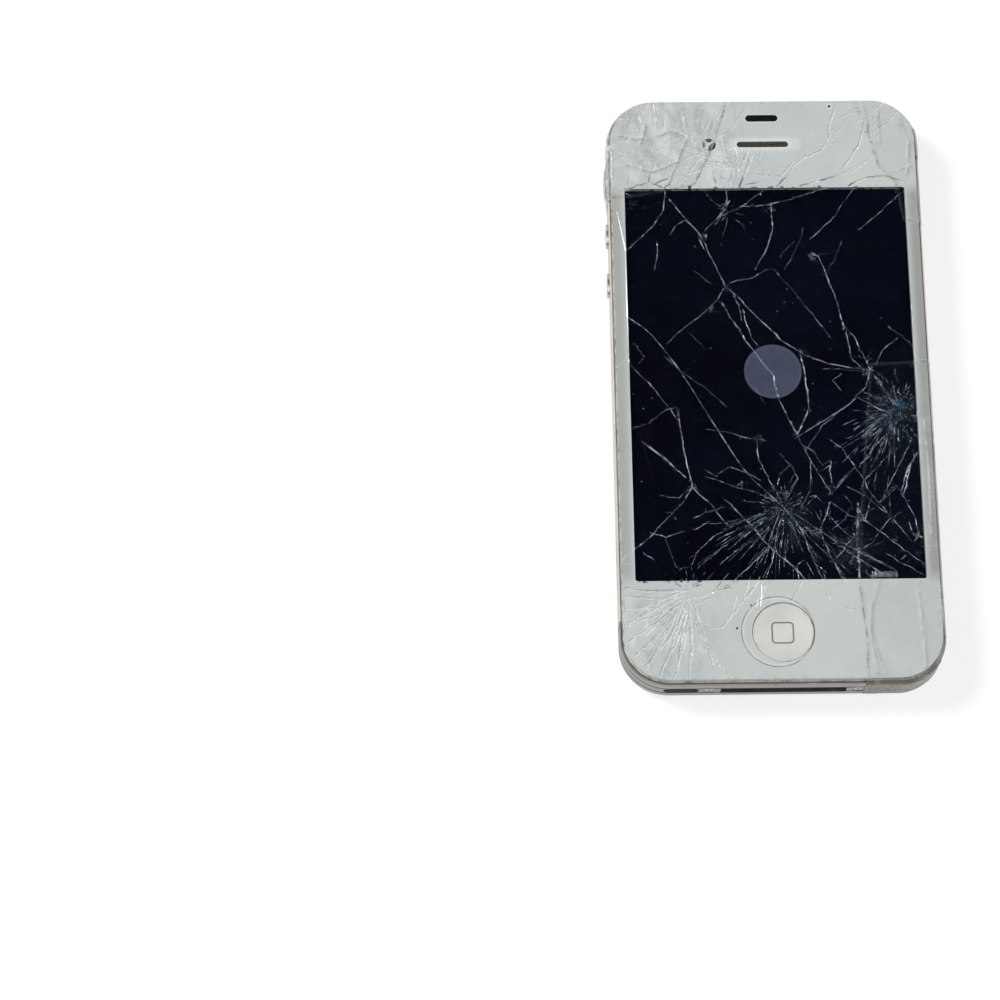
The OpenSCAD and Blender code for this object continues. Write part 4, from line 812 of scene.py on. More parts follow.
# Wide ridges in the white print: centre, count, directions, start, length, brightness and width
RIDGES = [
    (STRIKE_LOW, 24, (184, 286), (2.0, 4.5), (7, 15), 0.4, 0.42),
    (STRIKE_LOW, 34, (188, 285), (5, 13), (1.5, 5), 0.32, 0.34),
    ((-18, 48), 44, (0, 360), (1, 9), (2, 6), 0.4, 0.4),
    ((-10.1, 47.9), 16, (0, 360), (1.6, 3.5), (2, 6), 0.42, 0.34),
    ((-4, 42), 22, (30, 150), (0.5, 4), (2.5, 6), 0.5, 0.42),
    ((8, 46), 16, (20, 70), (1, 8), (2, 6), 0.3, 0.36),
    ((20, 48), 20, (40, 110), (1, 7), (2, 7), 0.38, 0.4),
    ((0, 40.6), 14, (0, 360), (0.5, 5), (1.2, 3), 0.36, 0.3),
]


# How far a short crack's direction may turn from its ray, in radians, and how wide it may be
SPRAY_LEAN = 0.25
FAN_LEAN = 0.12
RIDGE_LEAN = 0.9
SPRAY_WIDTHS = (0.13, 0.24)

# Share of a run's points that a hair starts from, and the widths of hairs
HAIR_SHARE = 0.34
HAIR_WIDTHS = (0.1, 0.17)

# Cracks are drawn narrower in the window than in the print
WINDOW_WIDTH = 0.8
PRINT_WIDTH = 1.6

# Depth of the deepest crack, and how far from its line a crack is felt
CRACK_DEPTH = 0.16
CRACK_REACH = 0.5

# A shard tilts by no more than this slope, lifts no more than this height, and sits this much lower
SHARD_SLOPE = 0.012
SHARD_LIFT = 0.045
SHARD_DROP = 0.02


def ray(draw, centre, directions, starts, lengths, lean):
    """A straight stretch that points away from a centre."""
    angle = math.radians(draw.uniform(*directions))
    start = starts[0] + (starts[1] - starts[0]) * draw.random() ** 1.4
    length = draw.uniform(*lengths)
    turned = angle + draw.uniform(-lean, lean)
    x = centre[0] + start * math.cos(angle)
    y = centre[1] + start * math.sin(angle)
    return [(x, y), (x + length * math.cos(turned), y + length * math.sin(turned))]


def sprayed(draw):
    """Straight cracks and ridges that point away from the blows."""
    made = []
    for centre, count, directions, starts, lengths, bright in SPRAYS:
        for _ in range(count):
            line = ray(draw, centre, directions, starts, lengths, SPRAY_LEAN)
            made.append((bright * draw.uniform(0.3, 1.4), draw.uniform(*SPRAY_WIDTHS), line))
    for centre, count, directions, starts, lengths, bright, width in RIDGES:
        for _ in range(count):
            lean = FAN_LEAN if centre is STRIKE_LOW else RIDGE_LEAN
            line = ray(draw, centre, directions, starts, lengths, lean)
            if not any(in_window(x, y) for x, y in line) and all(abs(x) < GLASS_W + 2 for x, y in line):
                made.append((bright * draw.uniform(0.5, 1.3), width * draw.uniform(0.7, 1.4), line))
    return made


def crazed(points, draw, step=0.45, wander=0.11):
    """A run cut into short stretches that wander a little from side to side."""
    path = []
    drift = 0
    for (x0, y0), (x1, y1) in zip(points, points[1:]):
        length = math.hypot(x1 - x0, y1 - y0)
        count = max(2 if len(points) == 2 else 1, round(length / step))
        side = (-(y1 - y0) / length, (x1 - x0) / length)
        for i in range(count):
            share = i / count
            drift = 0.55 * drift + draw.uniform(-wander, wander) * min(1, length / 3)
            hold = 0 if i == 0 else drift
            path.append((x0 + share * (x1 - x0) + hold * side[0], y0 + share * (y1 - y0) + hold * side[1]))
    path.append(points[-1])
    return path


def frayed(path, bright, draw):
    """Fine hairs that branch off a run, most of them near its corners."""
    hairs = []
    for i in range(2, len(path) - 2):
        if draw.random() > HAIR_SHARE:
            continue
        x, y = path[i]
        along = math.atan2(path[i + 1][1] - y, path[i + 1][0] - x) + draw.choice((0, math.pi))
        turned = along + draw.choice((-1, 1)) * draw.uniform(0.3, 1.3)
        length = draw.uniform(0.25, 0.5 + 1.1 * draw.random() ** 3)
        tip = (x + length * math.cos(turned), y + length * math.sin(turned))
        middle = ((x + tip[0]) / 2 + draw.uniform(-0.05, 0.05), (y + tip[1]) / 2 + draw.uniform(-0.05, 0.05))
        hairs.append((bright * draw.uniform(0.3, 0.8), draw.uniform(*HAIR_WIDTHS), [(x, y), middle, tip]))
    return hairs


def smoothed(points, count=6):
    """Catmull-Rom curve through the points."""
    ends = [points[0], *points, points[-1]]
    curve = []
    for i in range(1, len(ends) - 2):
        p0, p1, p2, p3 = (Vector(ends[i + k]) for k in (-1, 0, 1, 2))
        for k in range(count):
            t = k / count
            spot = 0.5 * (2 * p1 + (p2 - p0) * t + (2 * p0 - 5 * p1 + 4 * p2 - p3) * t ** 2
                          + (3 * p1 - p0 - 3 * p2 + p3) * t ** 3)
            curve.append((spot.x, spot.y))
    curve.append(points[-1])
    return curve


class Cuts:
    """Points and edges that a flat plate is cut along."""

    def __init__(self):
        self.points = []
        self.edges = []

    def line(self, points, closed=False):
        """Adds a line through points, which ends where it began if it is closed."""
        first = len(self.points)
        self.points += [Vector(p) for p in points]
        last = len(self.points) - 1
        self.edges += [(i, i + 1) for i in range(first, last)]
        if closed:
            self.edges.append((last, first))

    def triangles(self, nearest=1e-4):
        """Points, triangles, and the points that each was made from."""
        points, _, faces, sources, *_ = geometry.delaunay_2d_cdt(self.points, self.edges, [], 0, nearest)
        return points, faces, sources


def groove(cuts, samples, path, width, bright, draw):
    """Adds a crack's floor line and its two lips, which close at both ends."""
    lips = ([], [])
    total = len(path) - 1
    for i, (x, y) in enumerate(path):
        ahead = path[min(i + 1, total)]
        behind = path[max(i - 1, 0)]
        length = math.hypot(ahead[0] - behind[0], ahead[1] - behind[1]) or 1
        side = (-(ahead[1] - behind[1]) / length, (ahead[0] - behind[0]) / length)
        taper = min(1, 0.35 + 0.5 * min(i, total - i))
        half = width / 2 * taper * draw.uniform(0.7, 1.2)
        samples.append((x, y, half, bright))
        if 0 < i < total:
            lips[0].append((x + half * side[0], y + half * side[1]))
            lips[1].append((x - half * side[0], y - half * side[1]))
    cuts.line(path)
    for lip in lips:
        cuts.line([path[0], *lip, path[-1]])


def between(samples):
    """The samples of each run with more of them between, close enough to measure from."""
    dense = []
    for a, b in zip(samples, samples[1:]):
        length = math.hypot(b[0] - a[0], b[1] - a[1])
        count = max(1, math.ceil(length / 0.12))
        dense += [tuple(u + (v - u) * k / count for u, v in zip(a, b)) for k in range(count)]
    return dense + [samples[-1]]


def shattered_plate():
    """The cracked top of the front glass: points, faces and each point's share of a crack.

    A face comes with its middle and, inside a crack, the lean of its flank, or else None."""
    draw = random.Random(41)
    cuts = Cuts()
    dense = []
    runs = [(b, w, smoothed(p) if k == 0 else crazed(p, draw)) for k, (b, w, p) in enumerate(RUNS)]
    runs += [hair for b, _, path in runs[1:] for hair in frayed(path, b, draw)]
    runs += [(b, w, crazed(p, draw, 0.9, 0.06)) for b, w, p in sprayed(draw)]
    for bright, width, path in runs:
        samples = []
        wide = WINDOW_WIDTH if in_window(*path[len(path) // 2]) else PRINT_WIDTH
        groove(cuts, samples, path, width * wide, bright, draw)
        dense += between(samples)
    outline = rounded_box(-GLASS_W, GLASS_W, -GLASS_L, GLASS_L, GLASS_CORNER, 20)
    home = arc(*HOME_CENTRE, HOME_HOLE_R, 0, TURN, 72)[:-1]
    for loop in (outline, home, EAR_SLOT, WINDOW_OUTLINE):
        cuts.line(loop, closed=True)
    points, faces, _ = cuts.triangles()
    tree = kdtree.KDTree(len(dense))
    for i, (x, y, _, _) in enumerate(dense):
        tree.insert((x, y, 0), i)
    tree.balance()

    def share_at(x, y):
        """How deep in a crack a point lies, from 0 to 1."""
        share = 0.0
        for _, i, away in tree.find_range((x, y, 0), CRACK_REACH):
            _, _, half, bright = dense[i]
            share = max(share, bright * (1 - away / max(half, 0.02)))
        return share

    def lean_at(x, y):
        """Which way a crack's flank leans: 1 away from the main light, -1 towards it."""
        spot, _, away = tree.find((x, y, 0))
        out = Vector((x - spot.x, y - spot.y))
        return out.normalized().dot(LIGHT_SIDE) if away > 0.005 else 0.0

    crack = [share_at(point.x, point.y) for point in points]
    kept = []
    for face in faces:
        x, y = middle_of(points, face)
        if on_glass(x, y):
            kept.append((face, (x, y), lean_at(x, y) if share_at(x, y) > 0.03 else None))
    return points, kept, crack


def shard_tilts(points, faces, draw):
    """Height that each shard's tilt adds at each point."""
    edge_faces = {}
    cracked = [lean is not None for _, _, lean in faces]
    for n, (face, _, _) in enumerate(faces):
        for a, b in zip(face, [*face[1:], face[0]]):
            edge_faces.setdefault((min(a, b), max(a, b)), []).append(n)
    joined = {}
    for sharing in edge_faces.values():
        if len(sharing) == 2 and not cracked[sharing[0]] and not cracked[sharing[1]]:
            joined.setdefault(sharing[0], []).append(sharing[1])
            joined.setdefault(sharing[1], []).append(sharing[0])
    lift = [0.0] * len(points)
    seen = set()
    for start in range(len(faces)):
        if start in seen or cracked[start]:
            continue
        shard = [start]
        seen.add(start)
        for n in shard:
            for other in joined.get(n, ()):
                if other not in seen:
                    seen.add(other)
                    shard.append(other)
        corners = {i for n in shard for i in faces[n][0]}
        middle = sum((points[i] for i in corners), Vector((0, 0))) / len(corners)
        reach = max((points[i] - middle).length for i in corners)
        slope = min(SHARD_SLOPE, SHARD_LIFT / max(reach, 0.5))
        lean = Vector((draw.uniform(-slope, slope), draw.uniform(-slope, slope)))
        for i in corners:
            lift[i] = (points[i] - middle).dot(lean) - SHARD_DROP
    return lift


def closed_plate(points, faces, heights, under):
    """Walls down from a triangulated top: points, faces, walls, border, and the points below it."""
    used = sorted({i for face, _, _ in faces for i in face})
    number = {old: new for new, old in enumerate(used)}
    solid = [(points[i].x, points[i].y, heights[i]) for i in used]
    top = [tuple(number[i] for i in face) for face, _, _ in faces]
    count = len(solid)
    ways = dict.fromkeys((a, b) for face in top for a, b in zip(face, face[1:] + face[:1]))
    border = [(a, b) for a, b in ways if (b, a) not in ways]
    rim = sorted({i for edge in border for i in edge})
    below = {i: count + n for n, i in enumerate(rim)}
    solid += [(solid[i][0], solid[i][1], under) for i in rim]
    walls = [(b, a, below[a], below[b]) for a, b in border]
    return solid, top, walls, border, below


def underside_of(solid, border, below):
    """Faces of the plate's flat underside, cut along its own border and the window only."""
    rim = list(below)
    order = {i: n for n, i in enumerate(rim)}
    cuts = Cuts()
    cuts.points = [Vector(solid[below[i]][:2]) for i in rim]
    cuts.edges = [(order[a], order[b]) for a, b in border]
    cuts.line(WINDOW_OUTLINE, closed=True)
    flat, faces, sources = cuts.triangles(1e-5)
    ids = {}
    for n, made_from in enumerate(sources):
        on_rim = next((i for i in made_from if i < len(rim)), None)
        if on_rim is None:
            ids[n] = len(solid)
            solid.append((flat[n].x, flat[n].y, GLASS_UNDER))
        else:
            ids[n] = below[rim[on_rim]]
    return [tuple(ids[i] for i in reversed(face)) for face in faces if on_glass(*middle_of(flat, face))]


def front_glass():
    """The shattered front glass: white print round a clear window, with walls and an underside."""
    points, faces, crack = shattered_plate()
    lift = shard_tilts(points, faces, random.Random(5))
    heights = [GLASS_TOP + (lift[i] if crack[i] < 0.1 else 0) - CRACK_DEPTH * crack[i]
               for i in range(len(points))]
    solid, top, walls, border, below = closed_plate(points, faces, heights, GLASS_UNDER)
    underside = underside_of(solid, border, below)
    slots = [int(in_window(*middle)) for _, middle, _ in faces] + [0] * len(walls)
    slots += [int(in_window(*middle_of(solid, face))) for face in underside]
    piece = new_piece("front_glass_shards", solid, top + walls + underside, [white_print(), clear_window()],
                      "phone", ["front_glass"], slots)
    # Only the faces inside a crack know of it, so that whole glass stays clean
    shares = [0.0 if lean is None else crack[i] for face, _, lean in faces for i in face]
    leans = [lean or 0.0 for face, _, lean in faces for _ in face]
    rest = [0.0] * (len(piece.data.loops) - len(shares))
    add_attribute(piece, "crack", shares + rest, "CORNER")
    # flank tells the materials which side of a crack takes painted shade and which a painted highlight
    add_attribute(piece, "flank", leans + rest, "CORNER")


# ---------------------------------------------------------------- film
# Path of the film from the glass edge down the side: distance out, height
WRAP = [(0, 9.3), (0.7, 7.46), (0.7, 1.9)]

# Folds above the first height are squeezed, so that none stands higher than both heights together
LOW_FOLD = 0.18
FOLD_RANGE = 0.15

# Thickness, how close it may come to the glass, and how wide a border counts as its edge
FILM_THICK = 0.03
FILM_NEAREST = 0.04
FILM_EDGE = 0.7

# Where the film ends on the band, in distance along the film: past a long side, and past an end
FILM_SIDE = 36.0
FILM_END = 64.4


def wrapped(x, y, lift):
    """Place of a point of film that lies flat at x, y or is folded down over the edge."""
    half_w = GLASS_W - GLASS_CORNER
    half_l = GLASS_L - GLASS_CORNER
    core = Vector((max(-half_w, min(half_w, x)), max(-half_l, min(half_l, y))))
    away = Vector((x, y)) - core
    past = away.length - GLASS_CORNER
    if past <= 0:
        return (x, y, GLASS_TOP + lift)
    out = away / away.length
    edge = core + out * GLASS_CORNER
    left = past
    for (r0, z0), (r1, z1) in zip(WRAP, WRAP[1:]):
        length = math.hypot(r1 - r0, z1 - z0)
        normal = ((z0 - z1) / length, (r1 - r0) / length)
        if left <= length or (r1, z1) == WRAP[-1]:
            share = min(left / length, 1)
            reach = r0 + (r1 - r0) * share + normal[0] * lift
            return (edge.x + out.x * reach, edge.y + out.y * reach, z0 + (z1 - z0) * share + normal[1] * lift)
        left -= length
    return None


def segment_away(point, a, b):
    """Distance from a point to the stretch between a and b, and which flank it is on."""
    ab = b - a
    share = max(0, min(1, (point - a).dot(ab) / ab.length_squared))
    out = point - a - share * ab
    return out.length, out.normalized().dot(LIGHT_SIDE)


def film(name, node, outline, creases, seed, material, tent=None, step=0.32):
    """A torn piece of film over a corner, creased and folded over the edge.

    A tent is a raised oval: its centre, its reach both ways and its height."""
    draw = random.Random(seed)
    border = []
    for (x0, y0), (x1, y1) in zip(outline, outline[1:] + outline[:1]):
        count = max(1, round(math.hypot(x1 - x0, y1 - y0) / step))
        border += [(x0 + (x1 - x0) * k / count + draw.uniform(-0.05, 0.05),
                    y0 + (y1 - y0) * k / count + draw.uniform(-0.05, 0.05)) for k in range(count)]
    xs = [p[0] for p in border]
    ys = [p[1] for p in border]
    cuts = Cuts()
    cuts.line(border, closed=True)
    y = min(ys)
    while y < max(ys):
        x = min(xs)
        while x < max(xs):
            spot = (x + draw.uniform(-0.09, 0.09), y + draw.uniform(-0.09, 0.09))
            if inside(spot, border):
                cuts.points.append(Vector(spot))
            x += step
        y += step
    flat, faces, _ = cuts.triangles()
    faces = [face for face in faces if inside(middle_of(flat, face), border)]
    lines = [(height, width, Vector(a), Vector(b)) for height, width, run in creases
             for a, b in zip(run, run[1:])]
    edge_tree = kdtree.KDTree(len(border))
    for i, (x, y) in enumerate(border):
        edge_tree.insert((x, y, 0), i)
    edge_tree.balance()
    points = []
    edges = []
    folds = []
    flanks = []
    for spot in flat:
        rough = noise.noise(Vector((spot.x * 0.28, spot.y * 0.28, seed)))
        fine = noise.noise(Vector((spot.x * 0.9, spot.y * 0.9, seed + 7)))
        lift = 0.05 + 0.05 * max(0, rough) + 0.018 * (1 - abs(fine) * 2) * (1 + rough)
        fold = 0
        flank = 0
        for height, width, a, b in lines:
            away, side = segment_away(spot, a, b)
            if away < 3 * width:
                ridge = math.exp(-(away / width) ** 2)
                lift += height * ridge
                if ridge > fold:
                    fold = ridge
                    flank = -side
        if lift > LOW_FOLD:
            lift = LOW_FOLD + FOLD_RANGE * (1 - math.exp((LOW_FOLD - lift) / FOLD_RANGE))
        if tent:
            x, y, reach_x, reach_y, height = tent
            fall = 1 - ((spot.x - x) / reach_x) ** 2 - ((spot.y - y) / reach_y) ** 2
            lift += height * max(0, fall) ** 0.7
        _, _, away = edge_tree.find((spot.x, spot.y, 0))
        edges.append(max(0, 1 - away / FILM_EDGE))
        folds.append(fold)
        flanks.append(flank)
        points.append(wrapped(spot.x, spot.y, max(lift, FILM_NEAREST)))
    count = len(points)
    normals = [Vector((0, 0, 0)) for _ in points]
    for face in faces:
        a, b, c = (Vector(points[i]) for i in face)
        turn = (b - a).cross(c - a)
        for i in face:
            normals[i] += turn
    shell = points + [tuple(Vector(p) - n.normalized() * FILM_THICK) for p, n in zip(points, normals)]
    ways = {(a, b) for f in faces for a, b in zip(f, [*f[1:], f[0]])}
    rim = [(b, a, a + count, b + count) for a, b in ways if (b, a) not in ways]
    under = [tuple(i + count for i in reversed(f)) for f in faces]
    piece = new_piece(name, shell, [tuple(f) for f in faces] + rim + under, [material], "phone",
                      [node], smooth=True)
    add_attribute(piece, "edge", edges * 2)
    add_attribute(piece, "fold", folds * 2)
    # flank tells the material which side of a crease takes painted shade and which a painted highlight
    add_attribute(piece, "flank", flanks * 2)


def films():
    """Three torn scraps of film; a crease is (height, width, points)."""
    skin = film_skin()
    side = FILM_SIDE
    end = FILM_END
    film("film_scrap_top_left", "film_top_left",
         [(-side, 37), (-25.3, 37.2), (-19.3, 38.2), (-13, 39.8), (-9.3, 47.5), (-6.3, 56.9), (-6.2, 59),
          (-24.5, 59), (-24.6, end), (-side, end)],
         [(0.16, 0.5, [(-24, 56), (-22, 52), (-23, 48), (-20, 44)]),
          (0.14, 0.4, [(-27, 50), (-22, 49), (-17, 51), (-13, 49)]),
          (0.12, 0.35, [(-19, 57), (-16, 52), (-12, 47)]),
          (0.14, 0.4, [(-26, 44), (-21, 42.5), (-16, 44.5)]),
          (0.1, 0.3, [(-28.5, 47), (-28.6, 41)]),
          (0.2, 0.5, [(-30, 50), (-30, 44), (-30, 39)]),
          (0.12, 0.3, [(-15, 56), (-14, 50), (-16, 45), (-18, 40)])],
         3, skin, (-33.5, 41.7, 3.2, 4.6, 0.62))
    film("film_scrap_top_right", "film_top_right",
         [(16.6, 59), (19.5, 51), (21.5, 43), (24.5, 40), (25.6, 32), (side, 31.6), (side, end),
          (21, end), (21, 59)],
         [(0.12, 0.4, [(19, 56), (20, 52), (19, 48)]),
          (0.12, 0.35, [(22, 55), (22, 48)]),
          (0.12, 0.4, [(26, 53), (27.5, 48), (27, 42)]),
          (0.18, 0.5, [(30, 52), (30.3, 46)]),
          (0.1, 0.3, [(24, 42), (28, 43.5)])],
         8, skin)
    film("film_scrap_lower_right", "film_lower_right",
         [(14.4, -64.4), (14.7, -50), (13.8, -38), (14.8, -26), (18, 3.4), (30.4, 4.0), (30.4, -12),
          (side, -12.2), (side, -64.4)],
         [(0.14, 0.45, [(17.5, -39), (15.8, -44), (15.6, -50), (16.5, -56)]),
          (0.16, 0.4, [(24.6, -41), (25, -48), (25.2, -55)]),
          (0.1, 0.35, [(15.7, -49.5), (18, -56)]),
          (0.16, 0.5, [(28.6, -40), (29.2, -48), (27.5, -55)]),
          (0.14, 0.45, [(22, -59), (26, -58), (29, -54)]),
          (0.1, 0.3, [(27.5, -30), (27.8, -18), (27.4, -8)])],
         14, skin)


# ---------------------------------------------------------------- turned pieces
def lathe(name, profile, centre, count, material, body, stands_for):
    """A closed solid turned about a vertical axis; the profile starts and ends on the axis."""
    points = []
    for radius, height in profile[1:-1]:
        points += [(centre[0] + radius * math.cos(a), centre[1] + radius * math.sin(a), height)
                   for a in (TURN * i / count for i in range(count))]
    rings = len(profile) - 2
    faces = [(r * count + i, r * count + (i + 1) % count, (r + 1) * count + (i + 1) % count,
              (r + 1) * count + i) for r in range(rings - 1) for i in range(count)]
    first = len(points)
    points += [(centre[0], centre[1], profile[0][1]), (centre[0], centre[1], profile[-1][1])]
    faces += [(first, (i + 1) % count, i) for i in range(count)]
    last = (rings - 1) * count
    faces += [(first + 1, last + i, last + (i + 1) % count) for i in range(count)]
    return new_piece(name, points, faces, [material], body, stands_for, smooth=True)


def home_button():
    """Dished cap with a flange that keeps it in, and a pin beneath."""
    dish = 0.35
    dish_r = HOME_R - 0.45
    steps = 14
    top = HOME_TOP
    flange = HOME_FLANGE
    flange_r = 6.15
    pin_r = 2
    profile = [(0, flange - 0.3), (pin_r, flange - 0.3), (pin_r, flange), (flange_r, flange),
               (flange_r, flange + 0.38), (HOME_R, flange + 0.4), (HOME_R, top - 0.2),
               (HOME_R - 0.06, top - 0.06), (HOME_R - 0.2, top), (HOME_R - 0.4, top - 0.02)]
    for i in range(steps + 1):
        level = math.cos(0.25 * TURN * i / steps)
        profile.append((dish_r * level if i < steps else 0, top - 0.03 - dish * (1 - level ** 2)))
    lathe("home_button_cap", profile, HOME_CENTRE, 96, cap_white(), "home_button",
          ["home_button"])


# ---------------------------------------------------------------- repeated pieces
class Tree:
    """A geometry node tree with named inputs."""

    def __init__(self, name, inputs):
        self.group = bpy.data.node_groups.new(name, "GeometryNodeTree")
        face = self.group.interface
        face.new_socket("Geometry", in_out="INPUT", socket_type="NodeSocketGeometry")
        self.sockets = {}
        for label, (kind, value) in inputs.items():
            socket = face.new_socket(label, in_out="INPUT", socket_type=kind)
            if kind != "NodeSocketMaterial":
                socket.default_value = value
            self.sockets[label] = socket.identifier
        face.new_socket("Geometry", in_out="OUTPUT", socket_type="NodeSocketGeometry")
        self.source = self.group.nodes.new("NodeGroupInput")

    def given(self, label):
        """The tree's own input of that name."""
        return self.source.outputs[label]

    def node(self, kind, settings=None, inputs=None, out=0):
        """Adds a node with its settings, then its inputs, and returns one of its outputs."""
        made = self.group.nodes.new(kind)
        for name, setting in (settings or {}).items():
            setattr(made, name, setting)
        for key, value in (inputs or {}).items():
            if isinstance(value, bpy.types.NodeSocket):
                self.group.links.new(value, made.inputs[key])
            else:
                made.inputs[key].default_value = value
        return made.outputs[out]

    def end(self, geometry_socket):
        """Makes instances real, gives them the material and ends the tree."""
        real = self.node("GeometryNodeRealizeInstances", None, {0: geometry_socket})
        coated = self.node("GeometryNodeSetMaterial", None, {0: real, "Material": self.given("Material")})
        out = self.group.nodes.new("NodeGroupOutput")
        self.group.links.new(coated, out.inputs[0])

    def grow(self, name, points, edges, values, slot):
        """Runs the tree on points and edges, and keeps the result as a plain piece of the phone."""
        mesh = bpy.data.meshes.new(name + "_seed")
        mesh.from_pydata([Vector(p) * MM for p in points], edges, [])
        holder = stand(name, mesh)
        modifier = holder.modifiers.new("grow", "NODES")
        modifier.node_group = self.group
        for label, value in values.items():
            modifier[self.sockets[label]] = value
        evaluated = holder.evaluated_get(bpy.context.evaluated_depsgraph_get())
        grown = bpy.data.meshes.new_from_object(evaluated)
        holder.modifiers.clear()
        holder.data = grown
        declare(holder, "phone")


def crumb_tree():
    """Small sharp crumbs of glass, one at each point, turned and sized at random."""
    t = Tree("glass_crumbs", {"Smallest": ("NodeSocketFloat", 0.00005),
                              "Largest": ("NodeSocketFloat", 0.0002),
                              "Seed": ("NodeSocketInt", 3), "Material": ("NodeSocketMaterial", None)})
    crumb = t.node("GeometryNodeMeshIcoSphere", None, {"Radius": 1.0, "Subdivisions": 1})
    jitter = t.node("FunctionNodeRandomValue", {"data_type": "FLOAT_VECTOR"},
                    {0: (-0.5, -0.5, -0.4), 1: (0.5, 0.5, 0.3), "Seed": 5})
    sharp = t.node("GeometryNodeSetPosition", None, {0: crumb, "Offset": jitter})
    turn = t.node("FunctionNodeRandomValue", {"data_type": "FLOAT_VECTOR"},
                  {0: (0, 0, 0), 1: (6.28, 6.28, 6.28), "Seed": t.given("Seed")})
    size = t.node("FunctionNodeRandomValue", {"data_type": "FLOAT"},
                  {2: t.given("Smallest"), 3: t.given("Largest"), "Seed": t.given("Seed")}, out=1)
    placed = t.node("GeometryNodeInstanceOnPoints", None,
                    {"Points": t.given("Geometry"), "Instance": sharp, "Rotation": turn, "Scale": size})
    t.end(placed)
    return t


def crumbs():
    """Loose crumbs of glass that sit in and beside the cracks."""
    draw = random.Random(17)
    spots = []
    for (x, y), count, reach in ((STRIKE_MIDDLE, 70, 4), (STRIKE_RIGHT, 80, 4), (STRIKE_LOW, 30, 3),
                                 ((14, -33), 30, 4), ((24.5, -12), 30, 4)):
        for _ in range(count):
            angle = draw.uniform(0, TURN)
            away = reach * draw.random() ** 0.8
            spots.append((x + away * math.cos(angle), y + away * math.sin(angle)))
    for _, _, run in RUNS[:60]:
        for (x0, y0), (x1, y1) in zip(run, run[1:]):
            for _ in range(round(math.hypot(x1 - x0, y1 - y0) * 0.35)):
                share = draw.random()
                spots.append((x0 + (x1 - x0) * share + draw.uniform(-0.2, 0.2),
                              y0 + (y1 - y0) * share + draw.uniform(-0.2, 0.2)))
    spots += [(draw.uniform(WINDOW_LEFT, WINDOW_RIGHT), draw.uniform(WINDOW_LOW, WINDOW_HIGH))
              for _ in range(60)]
    clear = 0.3
    kept = [(x, y, GLASS_TOP + 0.02) for x, y in spots
            if WINDOW_LEFT + clear < x < min(WINDOW_RIGHT, 26)
            and WINDOW_LOW + clear < y < WINDOW_HIGH - clear]
    crumb_tree().grow("glass_crumbs", kept, [],
                      {"Smallest": 0.02 * MM, "Largest": 0.07 * MM, "Seed": 3, "Material": chip_glass()},
                      "white_glass")


def wire_tree():
    """Woven wire cloth from a set of straight lines."""
    t = Tree("wire_cloth", {"Wire": ("NodeSocketFloat", 0.00005), "Sides": ("NodeSocketInt", 6),
                            "Material": ("NodeSocketMaterial", None)})
    curve = t.node("GeometryNodeMeshToCurve", None, {0: t.given("Geometry")})
    ring = t.node("GeometryNodeCurvePrimitiveCircle", None,
                  {"Resolution": t.given("Sides"), "Radius": t.given("Wire")})
    wires = t.node("GeometryNodeCurveToMesh", None, {0: curve, 1: ring, "Fill Caps": True})
    t.end(wires)
    return t


# How far a wire weaves to each side, and how far it ends from the slot's edge
WEAVE = 0.035
WIRE_END = 0.02


def cloth_lines(x, z_or_y, width, height, pitch, place):
    """Points and edges of wires both ways inside a slot with round ends.

    The slot's middle is at x and z_or_y, and place turns a spot and its weave into a point."""
    points = []
    edges = []
    straight = (width - height) / 2

    def wire(start, end, phase):
        length = math.hypot(end[0] - start[0], end[1] - start[1])
        count = max(2, round(length / (pitch / 2)))
        first = len(points)
        for k in range(count + 1):
            share = k / count
            weave = WEAVE if (k + phase) % 2 else -WEAVE
            points.append(place(start[0] + (end[0] - start[0]) * share,
                                start[1] + (end[1] - start[1]) * share, weave))
        edges.extend((first + k, first + k + 1) for k in range(count))

    columns = int(width / pitch)
    for i in range(columns):
        across = (i - (columns - 1) / 2) * pitch
        past = max(0, abs(across) - straight)
        reach = math.sqrt(max(0, (height / 2) ** 2 - past ** 2)) - WIRE_END
        if reach > 0.1:
            wire((x + across, z_or_y - reach), (x + across, z_or_y + reach), i)
    rows = int(height / pitch)
    for i in range(rows):
        up = (i - (rows - 1) / 2) * pitch
        reach = straight + math.sqrt(max(0, (height / 2) ** 2 - up ** 2)) - WIRE_END
        wire((x - reach, z_or_y + up), (x + reach, z_or_y + up), i)
    return points, edges


def grilles():
    """Woven wire in the earpiece slot and behind the two slots in the bottom end."""
    tree = wire_tree()
    wire = {"Wire": 0.045 * MM, "Sides": 6}
    gilt = moulded("earpiece_wire", (0.10, 0.095, 0.08), 0.35, (0.4, 0.38, 0.33), metal=0.8)
    points, edges = cloth_lines(0, EAR_Y, EAR_W - 0.2, EAR_H - 0.1, 0.22,
                                lambda u, v, w: (u, v, GLASS_TOP - 0.25 + w))
    tree.grow("earpiece_cloth", points, edges, {**wire, "Material": gilt}, "gold")
    dark = moulded("grille_wire", (0.10, 0.10, 0.10), 0.4, metal=0.7)
    low, high = (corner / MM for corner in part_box("grille_meshes"))
    y = low.y - 0.06
    z = (low.z + high.z) / 2
    for name, x in (("grille_cloth_left", -18.4), ("grille_cloth_right", 18.4)):
        points, edges = cloth_lines(x, z, 6.3, 1.8, 0.24, lambda u, v, w: (u, y + w, v))
        tree.grow(name, points, edges, {**wire, "Material": dark}, "dark_mesh")


